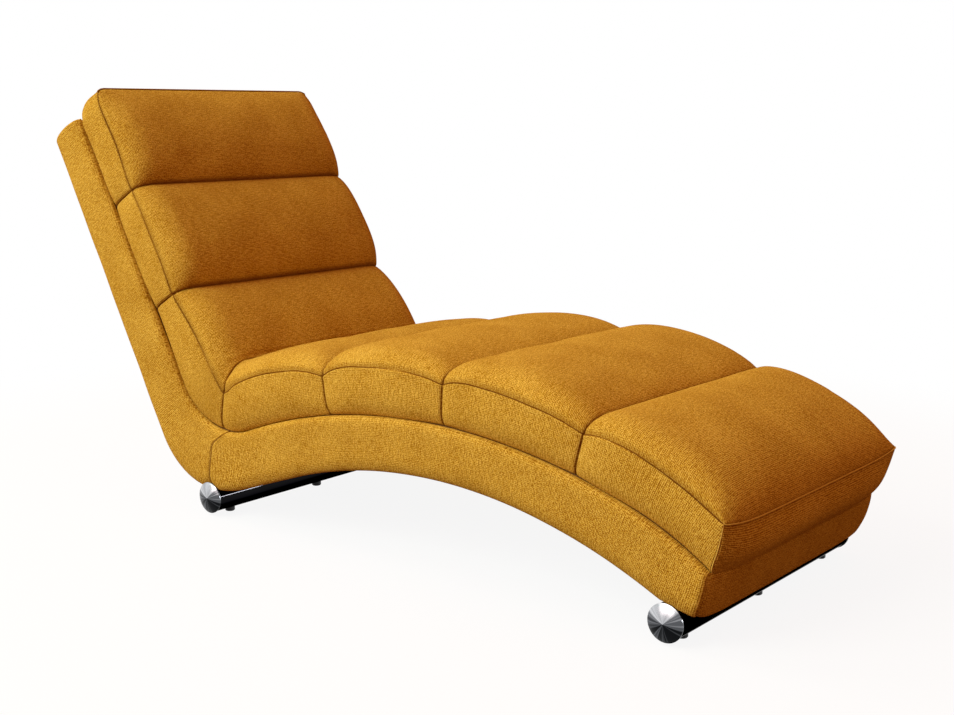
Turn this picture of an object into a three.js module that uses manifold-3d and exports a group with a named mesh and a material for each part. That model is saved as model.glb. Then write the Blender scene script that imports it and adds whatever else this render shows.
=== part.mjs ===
// A reclining chaise longue. A curved upholstered base carries three back cushions and four seat
// cushions, and stands on two cross tubes with domed end caps and rubber feet.
// Lengths are in millimetres and angles in degrees. +X runs from the head to the foot, +Y to the
// sitter's left and +Z up. The origin is on the floor, under the middle of the whole piece.

import * as THREE from 'three';
import { mergeVertices } from 'three/addons/utils/BufferGeometryUtils.js';
import Module from 'manifold-3d';

const wasm = await Module();
wasm.setup();

// Fits
const clearance = 0.3; // gap between pieces that touch
const overrun = 20; // how far a cutting shape runs past what it cuts
const arcTolerance = 0.15; // how far a flat facet may leave a true arc
const searchHalvings = 40; // when a place along a line is searched for

// Cross tubes, end caps and rubber feet
const tubeRadius = 30.7;
const tubeWall = 2;
const tubeInset = 8; // from the base's side to the tube's cut end
const capOverhang = 1.6; // of the cap's rim over the tube, all round
const capRimWidth = 3;
const capDomeHeight = 7;
const capSpigotLength = 14;
const capSpigotWall = 2.5;
const rubberFootHeight = 8; // below the tube
const rubberFootLip = 3; // wrapped up around the tube
const rubberFootRadius = 10;
const rubberFootChamfer = 1.5;
const rubberFootInset = 58; // from the base's side to the outer feet

// Base, seen from the side
const baseWidth = 616;
const deckLowAhead = 64; // the deck's lowest point, ahead of the rear tube
const deckLowAboveTube = 117.6;
const backDeckLength = 629; // straight part of the back
const backDeckAngle = 59.4;
const bendRadius = 160;
const seatRiseAngle = 20.8;
const seatCrestRadius = 1314;
const seatDropAngle = 18.7;
const footDeckRadius = 640;
const footDeckAngle = 34.3;
const headThickness = 98;
const backTaperAngle = 1.9; // the back grows thicker downwards
const heelRadius = 175; // round corner behind the rear tube
const baseBelowTubeTop = 9.4;
const hollowRadius = 300; // where the underside leaves the rear tube
const hollowAngle = 18.8;
const hollowLength = 160; // straight run up to the arch
const archEndBehindTube = 18; // end of the arched underside, before the front tube's axis
const archEndAboveTube = 7.6;
const toeRadius = 100;
const toeTurnAngle = 14;
const toeLength = 47; // flat lip under the foot end
const tubeBehindFoot = 73; // from the deck's foot end back to the front tube's axis

// Layers of the base
const sidePadThickness = 14;
const sidePanelThickness = 18;
const deckPadThickness = 15;
const outerPadThickness = 12;
const dustCoverThickness = 2.5;
const padTubeGap = 3; // open strip between a pad's end and the tube
const endFaceBulge = 5; // how far the base's end faces swell between their top and bottom edges
const footPadPuff = 11; // how much further the foot end's pad swells between its corners
const footPadFlatness = 8; // exponent of that swelling across the width
const bulgePointShares = [0.2, 0.5, 0.8]; // down an end face
const footPadRingShares = [-1, -0.97, -0.9, -0.75, -0.4, 0, 0.4, 0.75, 0.9, 0.97, 1]; // across the width
const boardThickness = 12;
const strapThickness = 2.5;
const strapWidth = 60;
const backStrapCount = 4;
const seatStrapCount = 6;
const backStrapRangeShares = [0.07, 0.29]; // first and last strap, along the deck
const seatStrapRangeShares = [0.5, 0.92];

// Rails between the side panels
const railThickness = 25;
const railDepth = 50;
const railBelowStraps = 2;
const backRailUpperShare = 0.17; // along the deck
const backRailLowerShare = 0.335;
const seatRailShare = 0.68;
const tubeRailWidth = 50;
const tubeRailHeight = 45;

// Saddles that join the tubes to the rails, and their bolts
const saddleWidth = 44;
const saddleLength = 90;
const saddleAboveTube = 6;
const saddleGrip = 6; // how far a saddle reaches down beside the tube's top
const saddleInset = 108; // from the base's side to the saddle's middle
const boltSpacing = 50;
const boltRadius = 4;
const boltHoleClearance = 0.5; // all round
const boltHeadAcrossFlats = 13;
const boltHeadSides = 6;
const boltHeadHeight = 5.5;
const boltTipInTube = 9;

// Cushions: heights are above the deck and widths are half widths
const tuckInset = 7; // how far a cushion's foot is drawn in from the base's side
const sidePuff = 7;
const channelDrawIn = 5; // how far a sewn channel pulls the sides in
const seamInset = 4;
const seamHeightAtChannel = 75;
const seamHeightAtCrown = 90;
const seamHeightAtEnd = 83;
const channelHeight = 98; // of the crown at a sewn channel, away from the side seams
const bendChannelHeight = 143; // where the back and the seat press together
const crownHeight = 131;
const backCrownShares = [1, 1.07, 1.15]; // of the crown's height, fullest at the small of the back
const seatCrownShares = [1.07, 0.99, 1, 1.01];
const shoulderWidth = 60; // from the side seam to the flat of the crown
const headCornerRadius = 26;
const footCornerRadius = 12;
const headPuff = 13;
const footPuff = 20;
const footLean = 11; // the foot end's face leans back by this much at its seam
const footOverhang = 9; // and stands out by this much at the deck, over the swollen end pad
const headOverhang = 19; // the head end's face leans out by this much at its seam
const leanSharpness = 4; // exponent of a lean's growth along a cushion
const crownFlatness = 2.6; // exponents of the crown's rise along and across a cushion
const crownRoundness = 0.56;
const shoulderRoundness = 0.5;
const bendChannelShare = 0.4; // between the back and the seat, along the deck
const backCushionEndShares = [0, 0.1108, 0.2355, bendChannelShare];
const seatCushionEndShares = [bendChannelShare, 0.5647, 0.7101, 0.8571, 1];
const cushionStationShares = [0, 0.02, 0.055, 0.11, 0.2, 0.34, 0.5, 0.66, 0.8, 0.89, 0.945, 0.98, 1];
const nearestStationShare = 0.018; // least distance between two cross-sections
const sidePointShares = [0.2, 0.5, 0.8]; // between the tuck and the side seam
const shoulderPointShares = [0.06, 0.16, 0.32, 0.55, 1]; // between the side seam and the crown's flat
const endRingShare = 0.6;

const tubeFacets = 36;
const boltFacets = 12;
const domeSteps = 5;

// Finishes
const finish = (color, roughness, metalness = 0) => ({ color, roughness, metalness });
const mustardFabric = finish(0xc0862c, 0.95);
const deckFabric = finish(0x8a5f24, 0.95);
const dustFabric = finish(0x1c1c1e, 0.95);
const webbing = finish(0x3a3d40, 0.9);
const plywood = finish(0xc9a878, 0.7);
const timber = finish(0xb98f5e, 0.7);
const blackLacquer = finish(0x0a0a0b, 0.15, 0.3);
const chrome = finish(0xd8dade, 0.08, 1);
const zincSteel = finish(0x9fa3a8, 0.4, 0.9);
const blackRubber = finish(0x141414, 0.85);

// Heights and widths that follow from the sizes above
const halfWidth = baseWidth / 2;
const tubeAxisHeight = rubberFootHeight + tubeRadius;
const tubeTop = tubeAxisHeight + tubeRadius;
const tubeHalfLength = halfWidth - tubeInset;
const capRadius = tubeRadius + capOverhang;
const panelOuterFace = halfWidth - sidePadThickness - clearance;
const panelInnerFace = panelOuterFace - sidePanelThickness;
const betweenPads = halfWidth - sidePadThickness - clearance;
const betweenPanels = panelInnerFace - clearance;

const radians = THREE.MathUtils.degToRad;
const lerp = THREE.MathUtils.lerp;
const direction = (heading) => new THREE.Vector2(Math.cos(heading), Math.sin(heading));
const leftOf = (heading) => new THREE.Vector2(-Math.sin(heading), Math.cos(heading));

// A line in the side view, made of straight and round stretches that run smoothly into each other.
// Its stations are where its facets meet, so every layer laid along it has parallel facets.
class SmoothLine {
  constructor(start, headingDegrees) {
    this.stations = [{ distance: 0, point: start.clone(), heading: radians(headingDegrees) }];
  }

  get end() {
    return this.stations[this.stations.length - 1];
  }

  get length() {
    return this.end.distance;
  }

  straight(length) {
    const { distance, point, heading } = this.end;
    const next = point.clone().addScaledVector(direction(heading), length);
    this.stations.push({ distance: distance + length, point: next, heading });
    return this;
  }

  // A positive turn is to the left
  arc(radius, turnDegrees) {
    const { distance, point, heading } = this.end;
    const turn = radians(turnDegrees);
    const side = Math.sign(turn);
    const centre = point.clone().addScaledVector(leftOf(heading), side * radius);
    const steps = Math.ceil(Math.abs(turn) / (2 * Math.acos(1 - arcTolerance / radius)));
    for (let step = 1; step <= steps; step += 1) {
      const turned = heading + (turn * step) / steps;
      this.stations.push({
        distance: distance + (radius * Math.abs(turn) * step) / steps,
        point: centre.clone().addScaledVector(leftOf(turned), -side * radius),
        heading: turned,
      });
    }
    return this;
  }

  // The one arc that leaves the line smoothly and ends at a point
  arcTo(target) {
    const { point, heading } = this.end;
    const chord = target.clone().sub(point);
    const across = chord.dot(leftOf(heading));
    const radius = chord.lengthSq() / (2 * Math.abs(across));
    const turn = 2 * Math.atan2(across, chord.dot(direction(heading)));
    return this.arc(radius, THREE.MathUtils.radToDeg(turn));
  }

  // The point at a distance along the line, moved to its left by an offset. Past its ends the line
  // runs straight on.
  at(distance, offset = 0) {
    const passed = this.stations.filter((station) => station.distance < distance).length;
    const later = THREE.MathUtils.clamp(passed, 1, this.stations.length - 1);
    const [a, b] = [this.stations[later - 1], this.stations[later]];
    const share = (distance - a.distance) / (b.distance - a.distance);
    const from = a.point.clone().addScaledVector(leftOf(a.heading), offset);
    const to = b.point.clone().addScaledVector(leftOf(b.heading), offset);
    return from.lerp(to, share);
  }

  points(from, to, offset = 0) {
    const inner = this.stations.filter(({ distance }) => distance > from && distance < to);
    const distances = [from, ...inner.map(({ distance }) => distance), to];
    return distances.map((distance) => this.at(distance, offset));
  }

  // The distance at which the line passes a place along X, between two distances
  distanceAtX(x, from, to) {
    let [low, high] = [from, to];
    for (let halving = 0; halving < searchHalvings; halving += 1) {
      const middle = (low + high) / 2;
      if (this.at(middle).x < x) low = middle;
      else high = middle;
    }
    return low;
  }
}

// Where two lines cross, each given by a point and a direction
function crossing(pointA, alongA, pointB, alongB) {
  const gap = pointB.clone().sub(pointA);
  return pointA.clone().addScaledVector(alongA, gap.cross(alongB) / alongA.cross(alongB));
}

// The deck runs from the head down the back, round the bend and over the seat to the foot.
// The sitter is on its left.
const rearTube = new THREE.Vector2(0, tubeAxisHeight);
const deckLow = new THREE.Vector2(deckLowAhead, tubeTop + deckLowAboveTube);
const backHeading = radians(-backDeckAngle);
const bendStart = deckLow
  .clone()
  .add(new THREE.Vector2(0, bendRadius))
  .addScaledVector(leftOf(backHeading), -bendRadius);
const headTop = bendStart.clone().addScaledVector(direction(backHeading), -backDeckLength);
const deck = new SmoothLine(headTop, -backDeckAngle)
  .straight(backDeckLength)
  .arc(bendRadius, backDeckAngle + seatRiseAngle)
  .arc(seatCrestRadius, -(seatRiseAngle + seatDropAngle))
  .arc(footDeckRadius, -(footDeckAngle - seatDropAngle));
const footTop = deck.end.point;
const frontTube = new THREE.Vector2(footTop.x - tubeBehindFoot, tubeAxisHeight);

// The base's outside runs from the head down the rear, round the heel, and under the arch to the toe.
// The inside of the base is on its left.
const outerHeadingDegrees = -(backDeckAngle + backTaperAngle);
const outerStart = deck.at(0, -headThickness);
const baseBottom = tubeTop - baseBelowTubeTop;
const heelDrop = heelRadius * (1 - Math.cos(radians(outerHeadingDegrees)));
const outerStraight =
  (outerStart.y - baseBottom - heelDrop) / Math.sin(radians(backDeckAngle + backTaperAngle));
const archEnd = new THREE.Vector2(frontTube.x - archEndBehindTube, tubeTop + archEndAboveTube);
const outside = new SmoothLine(outerStart, outerHeadingDegrees)
  .straight(outerStraight)
  .arc(heelRadius, -outerHeadingDegrees)
  .arc(hollowRadius, hollowAngle)
  .straight(hollowLength)
  .arcTo(archEnd)
  .arc(toeRadius, toeTurnAngle)
  .straight(toeLength);
const footBottom = outside.end.point;
const footFace = footBottom.clone().sub(footTop).normalize();
const footInward = new THREE.Vector2(footFace.y, -footFace.x);

// The line across the foot end at a depth behind its face, met by a layer of the deck or of the outside
const footLine = (depth) => footTop.clone().addScaledVector(footInward, depth);
const footAtDeck = (depth, offset) =>
  crossing(footLine(depth), footFace, deck.at(deck.length, offset), direction(deck.end.heading));
const footAtOutside = (depth, offset) =>
  crossing(footLine(depth), footFace, outside.at(outside.length, offset), direction(outside.end.heading));

// Points down a soft end face between two corners, swelling to the left of the way between them
function swollenFace(from, to, shares) {
  const chord = to.clone().sub(from);
  const outward = new THREE.Vector2(-chord.y, chord.x).normalize();
  return shares.map((share) => {
    const bulge = endFaceBulge * Math.sin(Math.PI * share);
    return from.clone().addScaledVector(chord, share).addScaledVector(outward, bulge);
  });
}

// A closed outline in the side view, made solid from one place across the width to another
function acrossWidth(outline, fromY, toY) {
  const geometry = new THREE.ExtrudeGeometry(new THREE.Shape(outline), {
    depth: toY - fromY,
    bevelEnabled: false,
  });
  return geometry.rotateX(Math.PI / 2).translate(0, toY, 0);
}

function toSolid(geometry) {
  const plain = geometry.clone();
  plain.deleteAttribute('normal');
  plain.deleteAttribute('uv');
  const merged = mergeVertices(plain);
  const vertProperties = new Float32Array(merged.attributes.position.array);
  const triVerts = new Uint32Array(merged.index.array);
  return new wasm.Manifold(new wasm.Mesh({ numProp: 3, vertProperties, triVerts }));
}

function toGeometry(solid) {
  const { vertProperties, triVerts } = solid.getMesh();
  const geometry = new THREE.BufferGeometry();
  geometry.setAttribute('position', new THREE.BufferAttribute(vertProperties, 3));
  geometry.setIndex(new THREE.BufferAttribute(triVerts, 1));
  geometry.computeVertexNormals();
  return geometry;
}

function cut(geometry, ...tools) {
  return toGeometry(tools.reduce((solid, tool) => solid.subtract(toSolid(tool)), toSolid(geometry)));
}

// The space that a tube or its caps take up, with the gap kept all round
function roundSpace(axis, radius) {
  const spaceRadius = radius + clearance;
  return new THREE.CylinderGeometry(spaceRadius, spaceRadius, baseWidth + overrun, tubeFacets)
    .translate(axis.x, 0, axis.y);
}

const assembly = new THREE.Group();

function addPiece(name, geometry, look) {
  const mesh = new THREE.Mesh(geometry, new THREE.MeshStandardMaterial(look));
  mesh.name = name;
  assembly.add(mesh);
  return mesh;
}

const sides = [
  { name: 'left', sign: 1 },
  { name: 'right', sign: -1 },
];
const tubes = [
  { name: 'rear', axis: rearTube },
  { name: 'front', axis: frontTube },
];

const capSpaces = tubes.map(({ axis }) => roundSpace(axis, capRadius));

// A layer between two faces of one side of the base
function sideLayer(outline, innerFace, outerFace, sign) {
  const [from, to] = sign > 0 ? [innerFace, outerFace] : [-outerFace, -innerFace];
  return acrossWidth(outline, from, to);
}

// Side pads: foam and cover over the whole side of the base, notched over the tubes
function addSidePads() {
  const outline = [
    ...deck.points(0, deck.length),
    ...swollenFace(footTop, footBottom, bulgePointShares),
    ...outside.points(0, outside.length).reverse(),
    ...swollenFace(outerStart, headTop, bulgePointShares),
  ];
  for (const { name, sign } of sides) {
    const pad = sideLayer(outline, halfWidth - sidePadThickness, halfWidth, sign);
    addPiece(`side_pad_${name}`, cut(pad, ...capSpaces), mustardFabric);
  }
}

// Side panels: plywood frames inside the pads, which carry the straps and rails
const strapTopOffset = -(deckPadThickness + clearance);
const panelTopOffset = strapTopOffset - strapThickness - clearance;
const panelEdgeOffset = outerPadThickness + clearance;

function addSidePanels() {
  const footDepth = outerPadThickness + clearance;
  const outline = [
    ...deck.points(footDepth, deck.length - sidePanelThickness, panelTopOffset),
    footAtDeck(footDepth, panelTopOffset),
    footAtOutside(footDepth, panelEdgeOffset),
    ...outside.points(footDepth, outside.length - sidePanelThickness, panelEdgeOffset).reverse(),
  ];
  for (const { name, sign } of sides) {
    const panel = sideLayer(outline, panelInnerFace, panelOuterFace, sign);
    addPiece(`side_panel_${name}`, cut(panel, ...capSpaces), plywood);
  }
}

// Deck pad: the foam sheet that the cushions lie on, from the head end's pad to the foot end's
function addDeckPad() {
  const depth = outerPadThickness + clearance;
  const outline = [
    ...deck.points(depth, deck.length - sidePanelThickness),
    footAtDeck(depth, 0),
    footAtDeck(depth, -deckPadThickness),
    ...deck.points(depth, deck.length - sidePanelThickness, -deckPadThickness).reverse(),
  ];
  addPiece('deck_pad', acrossWidth(outline, -betweenPads, betweenPads), deckFabric);
}

// Straps: woven webbing stretched from side panel to side panel, under the deck pad
function addStraps(prefix, count, [firstShare, lastShare]) {
  for (let index = 0; index < count; index += 1) {
    const middle = deck.length * lerp(firstShare, lastShare, index / (count - 1));
    const [from, to] = [middle - strapWidth / 2, middle + strapWidth / 2];
    const outline = [
      ...deck.points(from, to, strapTopOffset),
      ...deck.points(from, to, strapTopOffset - strapThickness).reverse(),
    ];
    const strap = acrossWidth(outline, -panelOuterFace, panelOuterFace);
    addPiece(`${prefix}_strap_${index + 1}`, strap, webbing);
  }
}

// Timber rails square to the deck, between the side panels
function addRail(name, share) {
  const middle = deck.length * share;
  const top = panelTopOffset - railBelowStraps;
  const [from, to] = [middle - railThickness / 2, middle + railThickness / 2];
  const bottom = top - railDepth;
  const outline = [deck.at(from, top), deck.at(to, top), deck.at(to, bottom), deck.at(from, bottom)];
  addPiece(name, acrossWidth(outline, -betweenPanels, betweenPanels), timber);
}

// Head end: a cover pad, and the board behind it
function addHeadEnd() {
  const padBottom = outside.at(0, panelEdgeOffset);
  const pad = [
    deck.at(0),
    deck.at(outerPadThickness),
    outside.at(outerPadThickness, panelEdgeOffset),
    padBottom,
    ...swollenFace(padBottom, headTop, bulgePointShares),
  ];
  addPiece('head_end_pad', acrossWidth(pad, -betweenPads, betweenPads), mustardFabric);
  const boardStart = outerPadThickness + clearance;
  const boardEnd = boardStart + boardThickness;
  const board = [
    deck.at(boardStart, panelTopOffset),
    deck.at(boardEnd, panelTopOffset),
    outside.at(boardEnd, panelEdgeOffset),
    outside.at(boardStart, panelEdgeOffset),
  ];
  addPiece('head_board', acrossWidth(board, -betweenPanels, betweenPanels), plywood);
}

// Foot end: a cover pad that swells between its corners, and the board behind it
function addFootEnd() {
  const outer = swollenFace(footTop, footBottom, [0, ...bulgePointShares, 1]);
  const inner = [footAtOutside(outerPadThickness, 0), footAtDeck(outerPadThickness, 0)];
  const rings = footPadRingShares.map((share) => {
    const puff = footPadPuff * (1 - Math.abs(share) ** footPadFlatness);
    const push = direction(deck.end.heading).multiplyScalar(puff);
    const ring = [...outer.map((point) => point.clone().add(push)), ...inner];
    return ring.map(({ x, y: z }) => new THREE.Vector3(x, share * betweenPads, z));
  });
  const pad = loft(rings, middleOf(rings[0]), middleOf(rings[rings.length - 1]));
  addPiece('foot_end_pad', pad, mustardFabric);
  const boardStart = outerPadThickness + clearance;
  const boardEnd = boardStart + boardThickness;
  const board = [
    footAtDeck(boardStart, panelTopOffset),
    footAtOutside(boardStart, panelEdgeOffset),
    footAtOutside(boardEnd, panelEdgeOffset),
    footAtDeck(boardEnd, panelTopOffset),
  ];
  addPiece('foot_board', acrossWidth(board, -betweenPanels, betweenPanels), plywood);
}

// Rear pad down the outside of the back, and the dust cover under the arch, which both stop short
// of the tubes
function addOutside() {
  const padStop = outside.distanceAtX(rearTube.x - tubeRadius - padTubeGap, 0, outside.length);
  const pad = [
    ...outside.points(0, padStop),
    ...outside.points(0, padStop, outerPadThickness).reverse(),
  ];
  addPiece('rear_pad', acrossWidth(pad, -betweenPads, betweenPads), mustardFabric);

  const coverStart = outside.distanceAtX(rearTube.x + tubeRadius + padTubeGap, padStop, outside.length);
  const coverStop = outside.distanceAtX(frontTube.x - tubeRadius - padTubeGap, padStop, outside.length);
  const coverTop = outerPadThickness;
  const cover = [
    ...outside.points(coverStart, coverStop, coverTop - dustCoverThickness),
    ...outside.points(coverStart, coverStop, coverTop).reverse(),
  ];
  addPiece('dust_cover', acrossWidth(cover, -betweenPads, betweenPads), dustFabric);
}

// Rails over the tubes, saddles between rail and tube, and the bolts that clamp them together
const saddleTop = tubeTop + saddleAboveTube;
const tubeRailBottom = saddleTop + clearance;
const tubeRailTop = tubeRailBottom + tubeRailHeight;
const saddleSpread = halfWidth - saddleInset;

function boltPlaces() {
  return sides.flatMap(({ name, sign }) =>
    [-1, 1].map((step) => ({ name, y: sign * saddleSpread + (step * boltSpacing) / 2 })),
  );
}

function boltHoles(axis) {
  const radius = boltRadius + boltHoleClearance;
  const height = tubeRailTop - tubeAxisHeight + overrun;
  return boltPlaces().map(({ y }) =>
    new THREE.CylinderGeometry(radius, radius, height, boltFacets)
      .rotateX(Math.PI / 2)
      .translate(axis.x, y, tubeAxisHeight + height / 2),
  );
}

function addTubeRail({ name, axis }) {
  const rail = new THREE.BoxGeometry(tubeRailWidth, 2 * betweenPanels, tubeRailHeight)
    .translate(axis.x, 0, tubeRailBottom + tubeRailHeight / 2);
  addPiece(`${name}_tube_rail`, cut(rail, ...boltHoles(axis)), timber);
}

function addSaddles({ name, axis }) {
  for (const side of sides) {
    const height = saddleAboveTube + saddleGrip;
    const block = new THREE.BoxGeometry(saddleWidth, saddleLength, height)
      .translate(axis.x, side.sign * saddleSpread, saddleTop - height / 2);
    const saddle = cut(block, roundSpace(axis, tubeRadius), ...boltHoles(axis));
    addPiece(`${name}_saddle_${side.name}`, saddle, zincSteel);
  }
}

function boltGeometry() {
  const shankTop = tubeRailTop + clearance;
  const shankBottom = tubeTop - tubeWall - boltTipInTube;
  const shankLength = shankTop + clearance - shankBottom;
  const shank = new THREE.CylinderGeometry(boltRadius, boltRadius, shankLength, boltFacets)
    .rotateX(Math.PI / 2)
    .translate(0, 0, shankBottom + shankLength / 2);
  const headRadius = boltHeadAcrossFlats / 2 / Math.cos(Math.PI / boltHeadSides);
  const head = new THREE.CylinderGeometry(headRadius, headRadius, boltHeadHeight, boltHeadSides)
    .rotateX(Math.PI / 2)
    .translate(0, 0, shankTop + boltHeadHeight / 2);
  return toGeometry(toSolid(shank).add(toSolid(head)));
}

function addBolts({ name, axis }) {
  boltPlaces().forEach(({ name: side, y }, index) => {
    const bolt = addPiece(`${name}_bolt_${side}_${(index % 2) + 1}`, boltGeometry(), zincSteel);
    bolt.position.set(axis.x, y, 0);
  });
}

function addTube({ name, axis }) {
  const ring = new THREE.Shape().absarc(0, 0, tubeRadius, 0, 2 * Math.PI);
  ring.holes.push(new THREE.Path().absarc(0, 0, tubeRadius - tubeWall, 0, 2 * Math.PI, true));
  const tube = new THREE.ExtrudeGeometry(ring, {
    depth: 2 * tubeHalfLength,
    bevelEnabled: false,
    curveSegments: tubeFacets / 2,
  });
  tube.rotateX(Math.PI / 2).translate(axis.x, tubeHalfLength, axis.y);
  addPiece(`${name}_tube`, cut(tube, ...boltHoles(axis)), blackLacquer);
}

// End caps: a spigot pushed into the tube, a rim a little wider than the tube and a domed face
function capGeometry() {
  const spigotRadius = tubeRadius - tubeWall - clearance;
  const sphereRadius = (capRadius ** 2 + capDomeHeight ** 2) / (2 * capDomeHeight);
  const domeAngle = Math.asin(capRadius / sphereRadius);
  const profile = [
    new THREE.Vector2(0, capSpigotWall),
    new THREE.Vector2(spigotRadius - capSpigotWall, capSpigotWall),
    new THREE.Vector2(spigotRadius - capSpigotWall, -capSpigotLength),
    new THREE.Vector2(spigotRadius, -capSpigotLength),
    new THREE.Vector2(spigotRadius, clearance),
    new THREE.Vector2(capRadius, clearance),
  ];
  for (let step = 0; step <= domeSteps; step += 1) {
    const angle = domeAngle * (1 - step / domeSteps);
    const rise = sphereRadius * (Math.cos(angle) - Math.cos(domeAngle));
    profile.push(new THREE.Vector2(sphereRadius * Math.sin(angle), capRimWidth + rise));
  }
  return new THREE.LatheGeometry(profile, tubeFacets);
}

function addCaps({ name, axis }) {
  for (const side of sides) {
    const cap = addPiece(`${name}_cap_${side.name}`, capGeometry(), chrome);
    cap.rotation.z = side.sign > 0 ? 0 : Math.PI;
    cap.position.set(axis.x, side.sign * tubeHalfLength, axis.y);
  }
}

// Rubber feet: round pads that hug the underside of the tube
function addRubberFeet({ name, axis }) {
  const height = rubberFootHeight + rubberFootLip;
  const profile = [
    new THREE.Vector2(0, 0),
    new THREE.Vector2(rubberFootRadius - rubberFootChamfer, 0),
    new THREE.Vector2(rubberFootRadius, rubberFootChamfer),
    new THREE.Vector2(rubberFootRadius, height),
    new THREE.Vector2(0, height),
  ];
  const places = [
    ['left', halfWidth - rubberFootInset],
    ['middle', 0],
    ['right', rubberFootInset - halfWidth],
  ];
  for (const [place, y] of places) {
    const foot = new THREE.LatheGeometry(profile, tubeFacets / 2)
      .rotateX(Math.PI / 2)
      .translate(axis.x, y, 0);
    addPiece(`${name}_rubber_foot_${place}`, cut(foot, roundSpace(axis, tubeRadius)), blackRubber);
  }
}

// How far a cushion has risen from its sewn ends to its crown, at a share of its length
const rise = (share) => (1 - Math.abs(2 * share - 1) ** crownFlatness) ** crownRoundness;

// Half of a cushion's cross-section, from the middle of its underside to the middle of its crown,
// as [half width, height above the deck]
function halfSection(seamHalfWidth, seamHeight, topHeight, narrowing) {
  const tuckHalfWidth = halfWidth - tuckInset - narrowing;
  const points = [[0, clearance], [tuckHalfWidth, clearance]];
  for (const share of sidePointShares) {
    const width = lerp(tuckHalfWidth, seamHalfWidth, share) + sidePuff * Math.sin(Math.PI * share);
    points.push([width, lerp(clearance, seamHeight, share)]);
  }
  points.push([seamHalfWidth, seamHeight]);
  for (const share of shoulderPointShares) {
    const lift = Math.sin((Math.PI / 2) * share) ** shoulderRoundness;
    points.push([seamHalfWidth - shoulderWidth * share, lerp(seamHeight, topHeight, lift)]);
  }
  points.push([0, topHeight]);
  return points;
}

// Where a cushion's cross-sections stand, as shares of its length: at the deck's own facet lines, so
// that it lies flat on them, and at its own stations where no facet line is near
function cushionStations(from, to) {
  const deckShares = deck.stations
    .map(({ distance }) => (distance - from) / (to - from))
    .filter((share) => share > nearestStationShare && share < 1 - nearestStationShare);
  const clear = (share) => deckShares.every((other) => Math.abs(other - share) > nearestStationShare);
  return [...deckShares, ...cushionStationShares.filter(clear)].sort((a, b) => a - b);
}

// A cushion over a stretch of the deck. A free end has its own seam and face, with rounded corners,
// and a sewn end is a channel shared with the next cushion.
function cushionGeometry(from, to, crown, { freeHead, freeFoot, headChannel, footChannel }) {
  const length = to - from;
  const leanAtFoot = freeFoot ? footLean : 0;
  const leanAtHead = freeHead ? headOverhang : 0;
  const rings = cushionStations(from, to).map((share) => {
    const lift = rise(share);
    const free = share < 0.5 ? freeHead : freeFoot;
    const endDistance = Math.min(share, 1 - share) * length;
    const cornerRadius = share < 0.5 ? headCornerRadius : footCornerRadius;
    const cornerReach = Math.max(0, cornerRadius - endDistance);
    const narrowing = free
      ? cornerRadius - Math.sqrt(cornerRadius ** 2 - cornerReach ** 2)
      : channelDrawIn * (1 - lift);
    const seamHeight = lerp(free ? seamHeightAtEnd : seamHeightAtChannel, seamHeightAtCrown, lift);
    const channel = lerp(headChannel, footChannel, share);
    const topHeight = lerp(free ? seamHeightAtEnd : channel, crown, lift);
    const overhang = freeFoot && share === 1 ? footOverhang : 0;
    const half = halfSection(halfWidth - seamInset - narrowing, seamHeight, topHeight, narrowing);
    const otherHalf = half.slice(1, -1).reverse().map(([width, height]) => [-width, height]);
    return [...half, ...otherHalf].map(([width, height]) => {
      const heightShare = height / seamHeight;
      const lean = leanAtFoot * share ** leanSharpness + leanAtHead * (1 - share) ** leanSharpness;
      const beyond = overhang * Math.max(0, 1 - heightShare) - lean * heightShare;
      const place = deck.at(from + share * length + beyond, height);
      return new THREE.Vector3(place.x, width, place.y);
    });
  });
  const headHeading = direction(radians(-backDeckAngle));
  const footHeading = direction(deck.end.heading);
  const ends = [
    { ring: rings[0], puff: freeHead ? -headPuff : 0, heading: headHeading },
    { ring: rings[rings.length - 1], puff: freeFoot ? footPuff : 0, heading: footHeading },
  ].map(({ ring, puff, heading }) => {
    const centre = middleOf(ring);
    const push = new THREE.Vector3(heading.x, 0, heading.y).multiplyScalar(puff);
    return {
      inner: ring.map((point) =>
        point.clone().lerp(centre, 1 - endRingShare).addScaledVector(push, endRingShare),
      ),
      tip: centre.clone().add(push),
    };
  });
  return loft([ends[0].inner, ...rings, ends[1].inner], ends[0].tip, ends[1].tip);
}

function middleOf(ring) {
  return ring.reduce((sum, point) => sum.add(point), new THREE.Vector3()).divideScalar(ring.length);
}

// A closed skin over rings of points, with a point at each end
function loft(rings, firstTip, lastTip) {
  const count = rings[0].length;
  const points = [firstTip, ...rings.flat(), lastTip];
  const last = points.length - 1;
  const faces = [];
  const vertex = (ring, index) => 1 + ring * count + (index % count);
  for (let index = 0; index < count; index += 1) {
    faces.push(0, vertex(0, index + 1), vertex(0, index));
    for (let ring = 0; ring < rings.length - 1; ring += 1) {
      faces.push(vertex(ring, index), vertex(ring, index + 1), vertex(ring + 1, index));
      faces.push(vertex(ring + 1, index), vertex(ring, index + 1), vertex(ring + 1, index + 1));
    }
    faces.push(vertex(rings.length - 1, index), vertex(rings.length - 1, index + 1), last);
  }
  const geometry = new THREE.BufferGeometry().setFromPoints(points);
  geometry.setIndex(faces);
  geometry.computeVertexNormals();
  return geometry;
}

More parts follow.
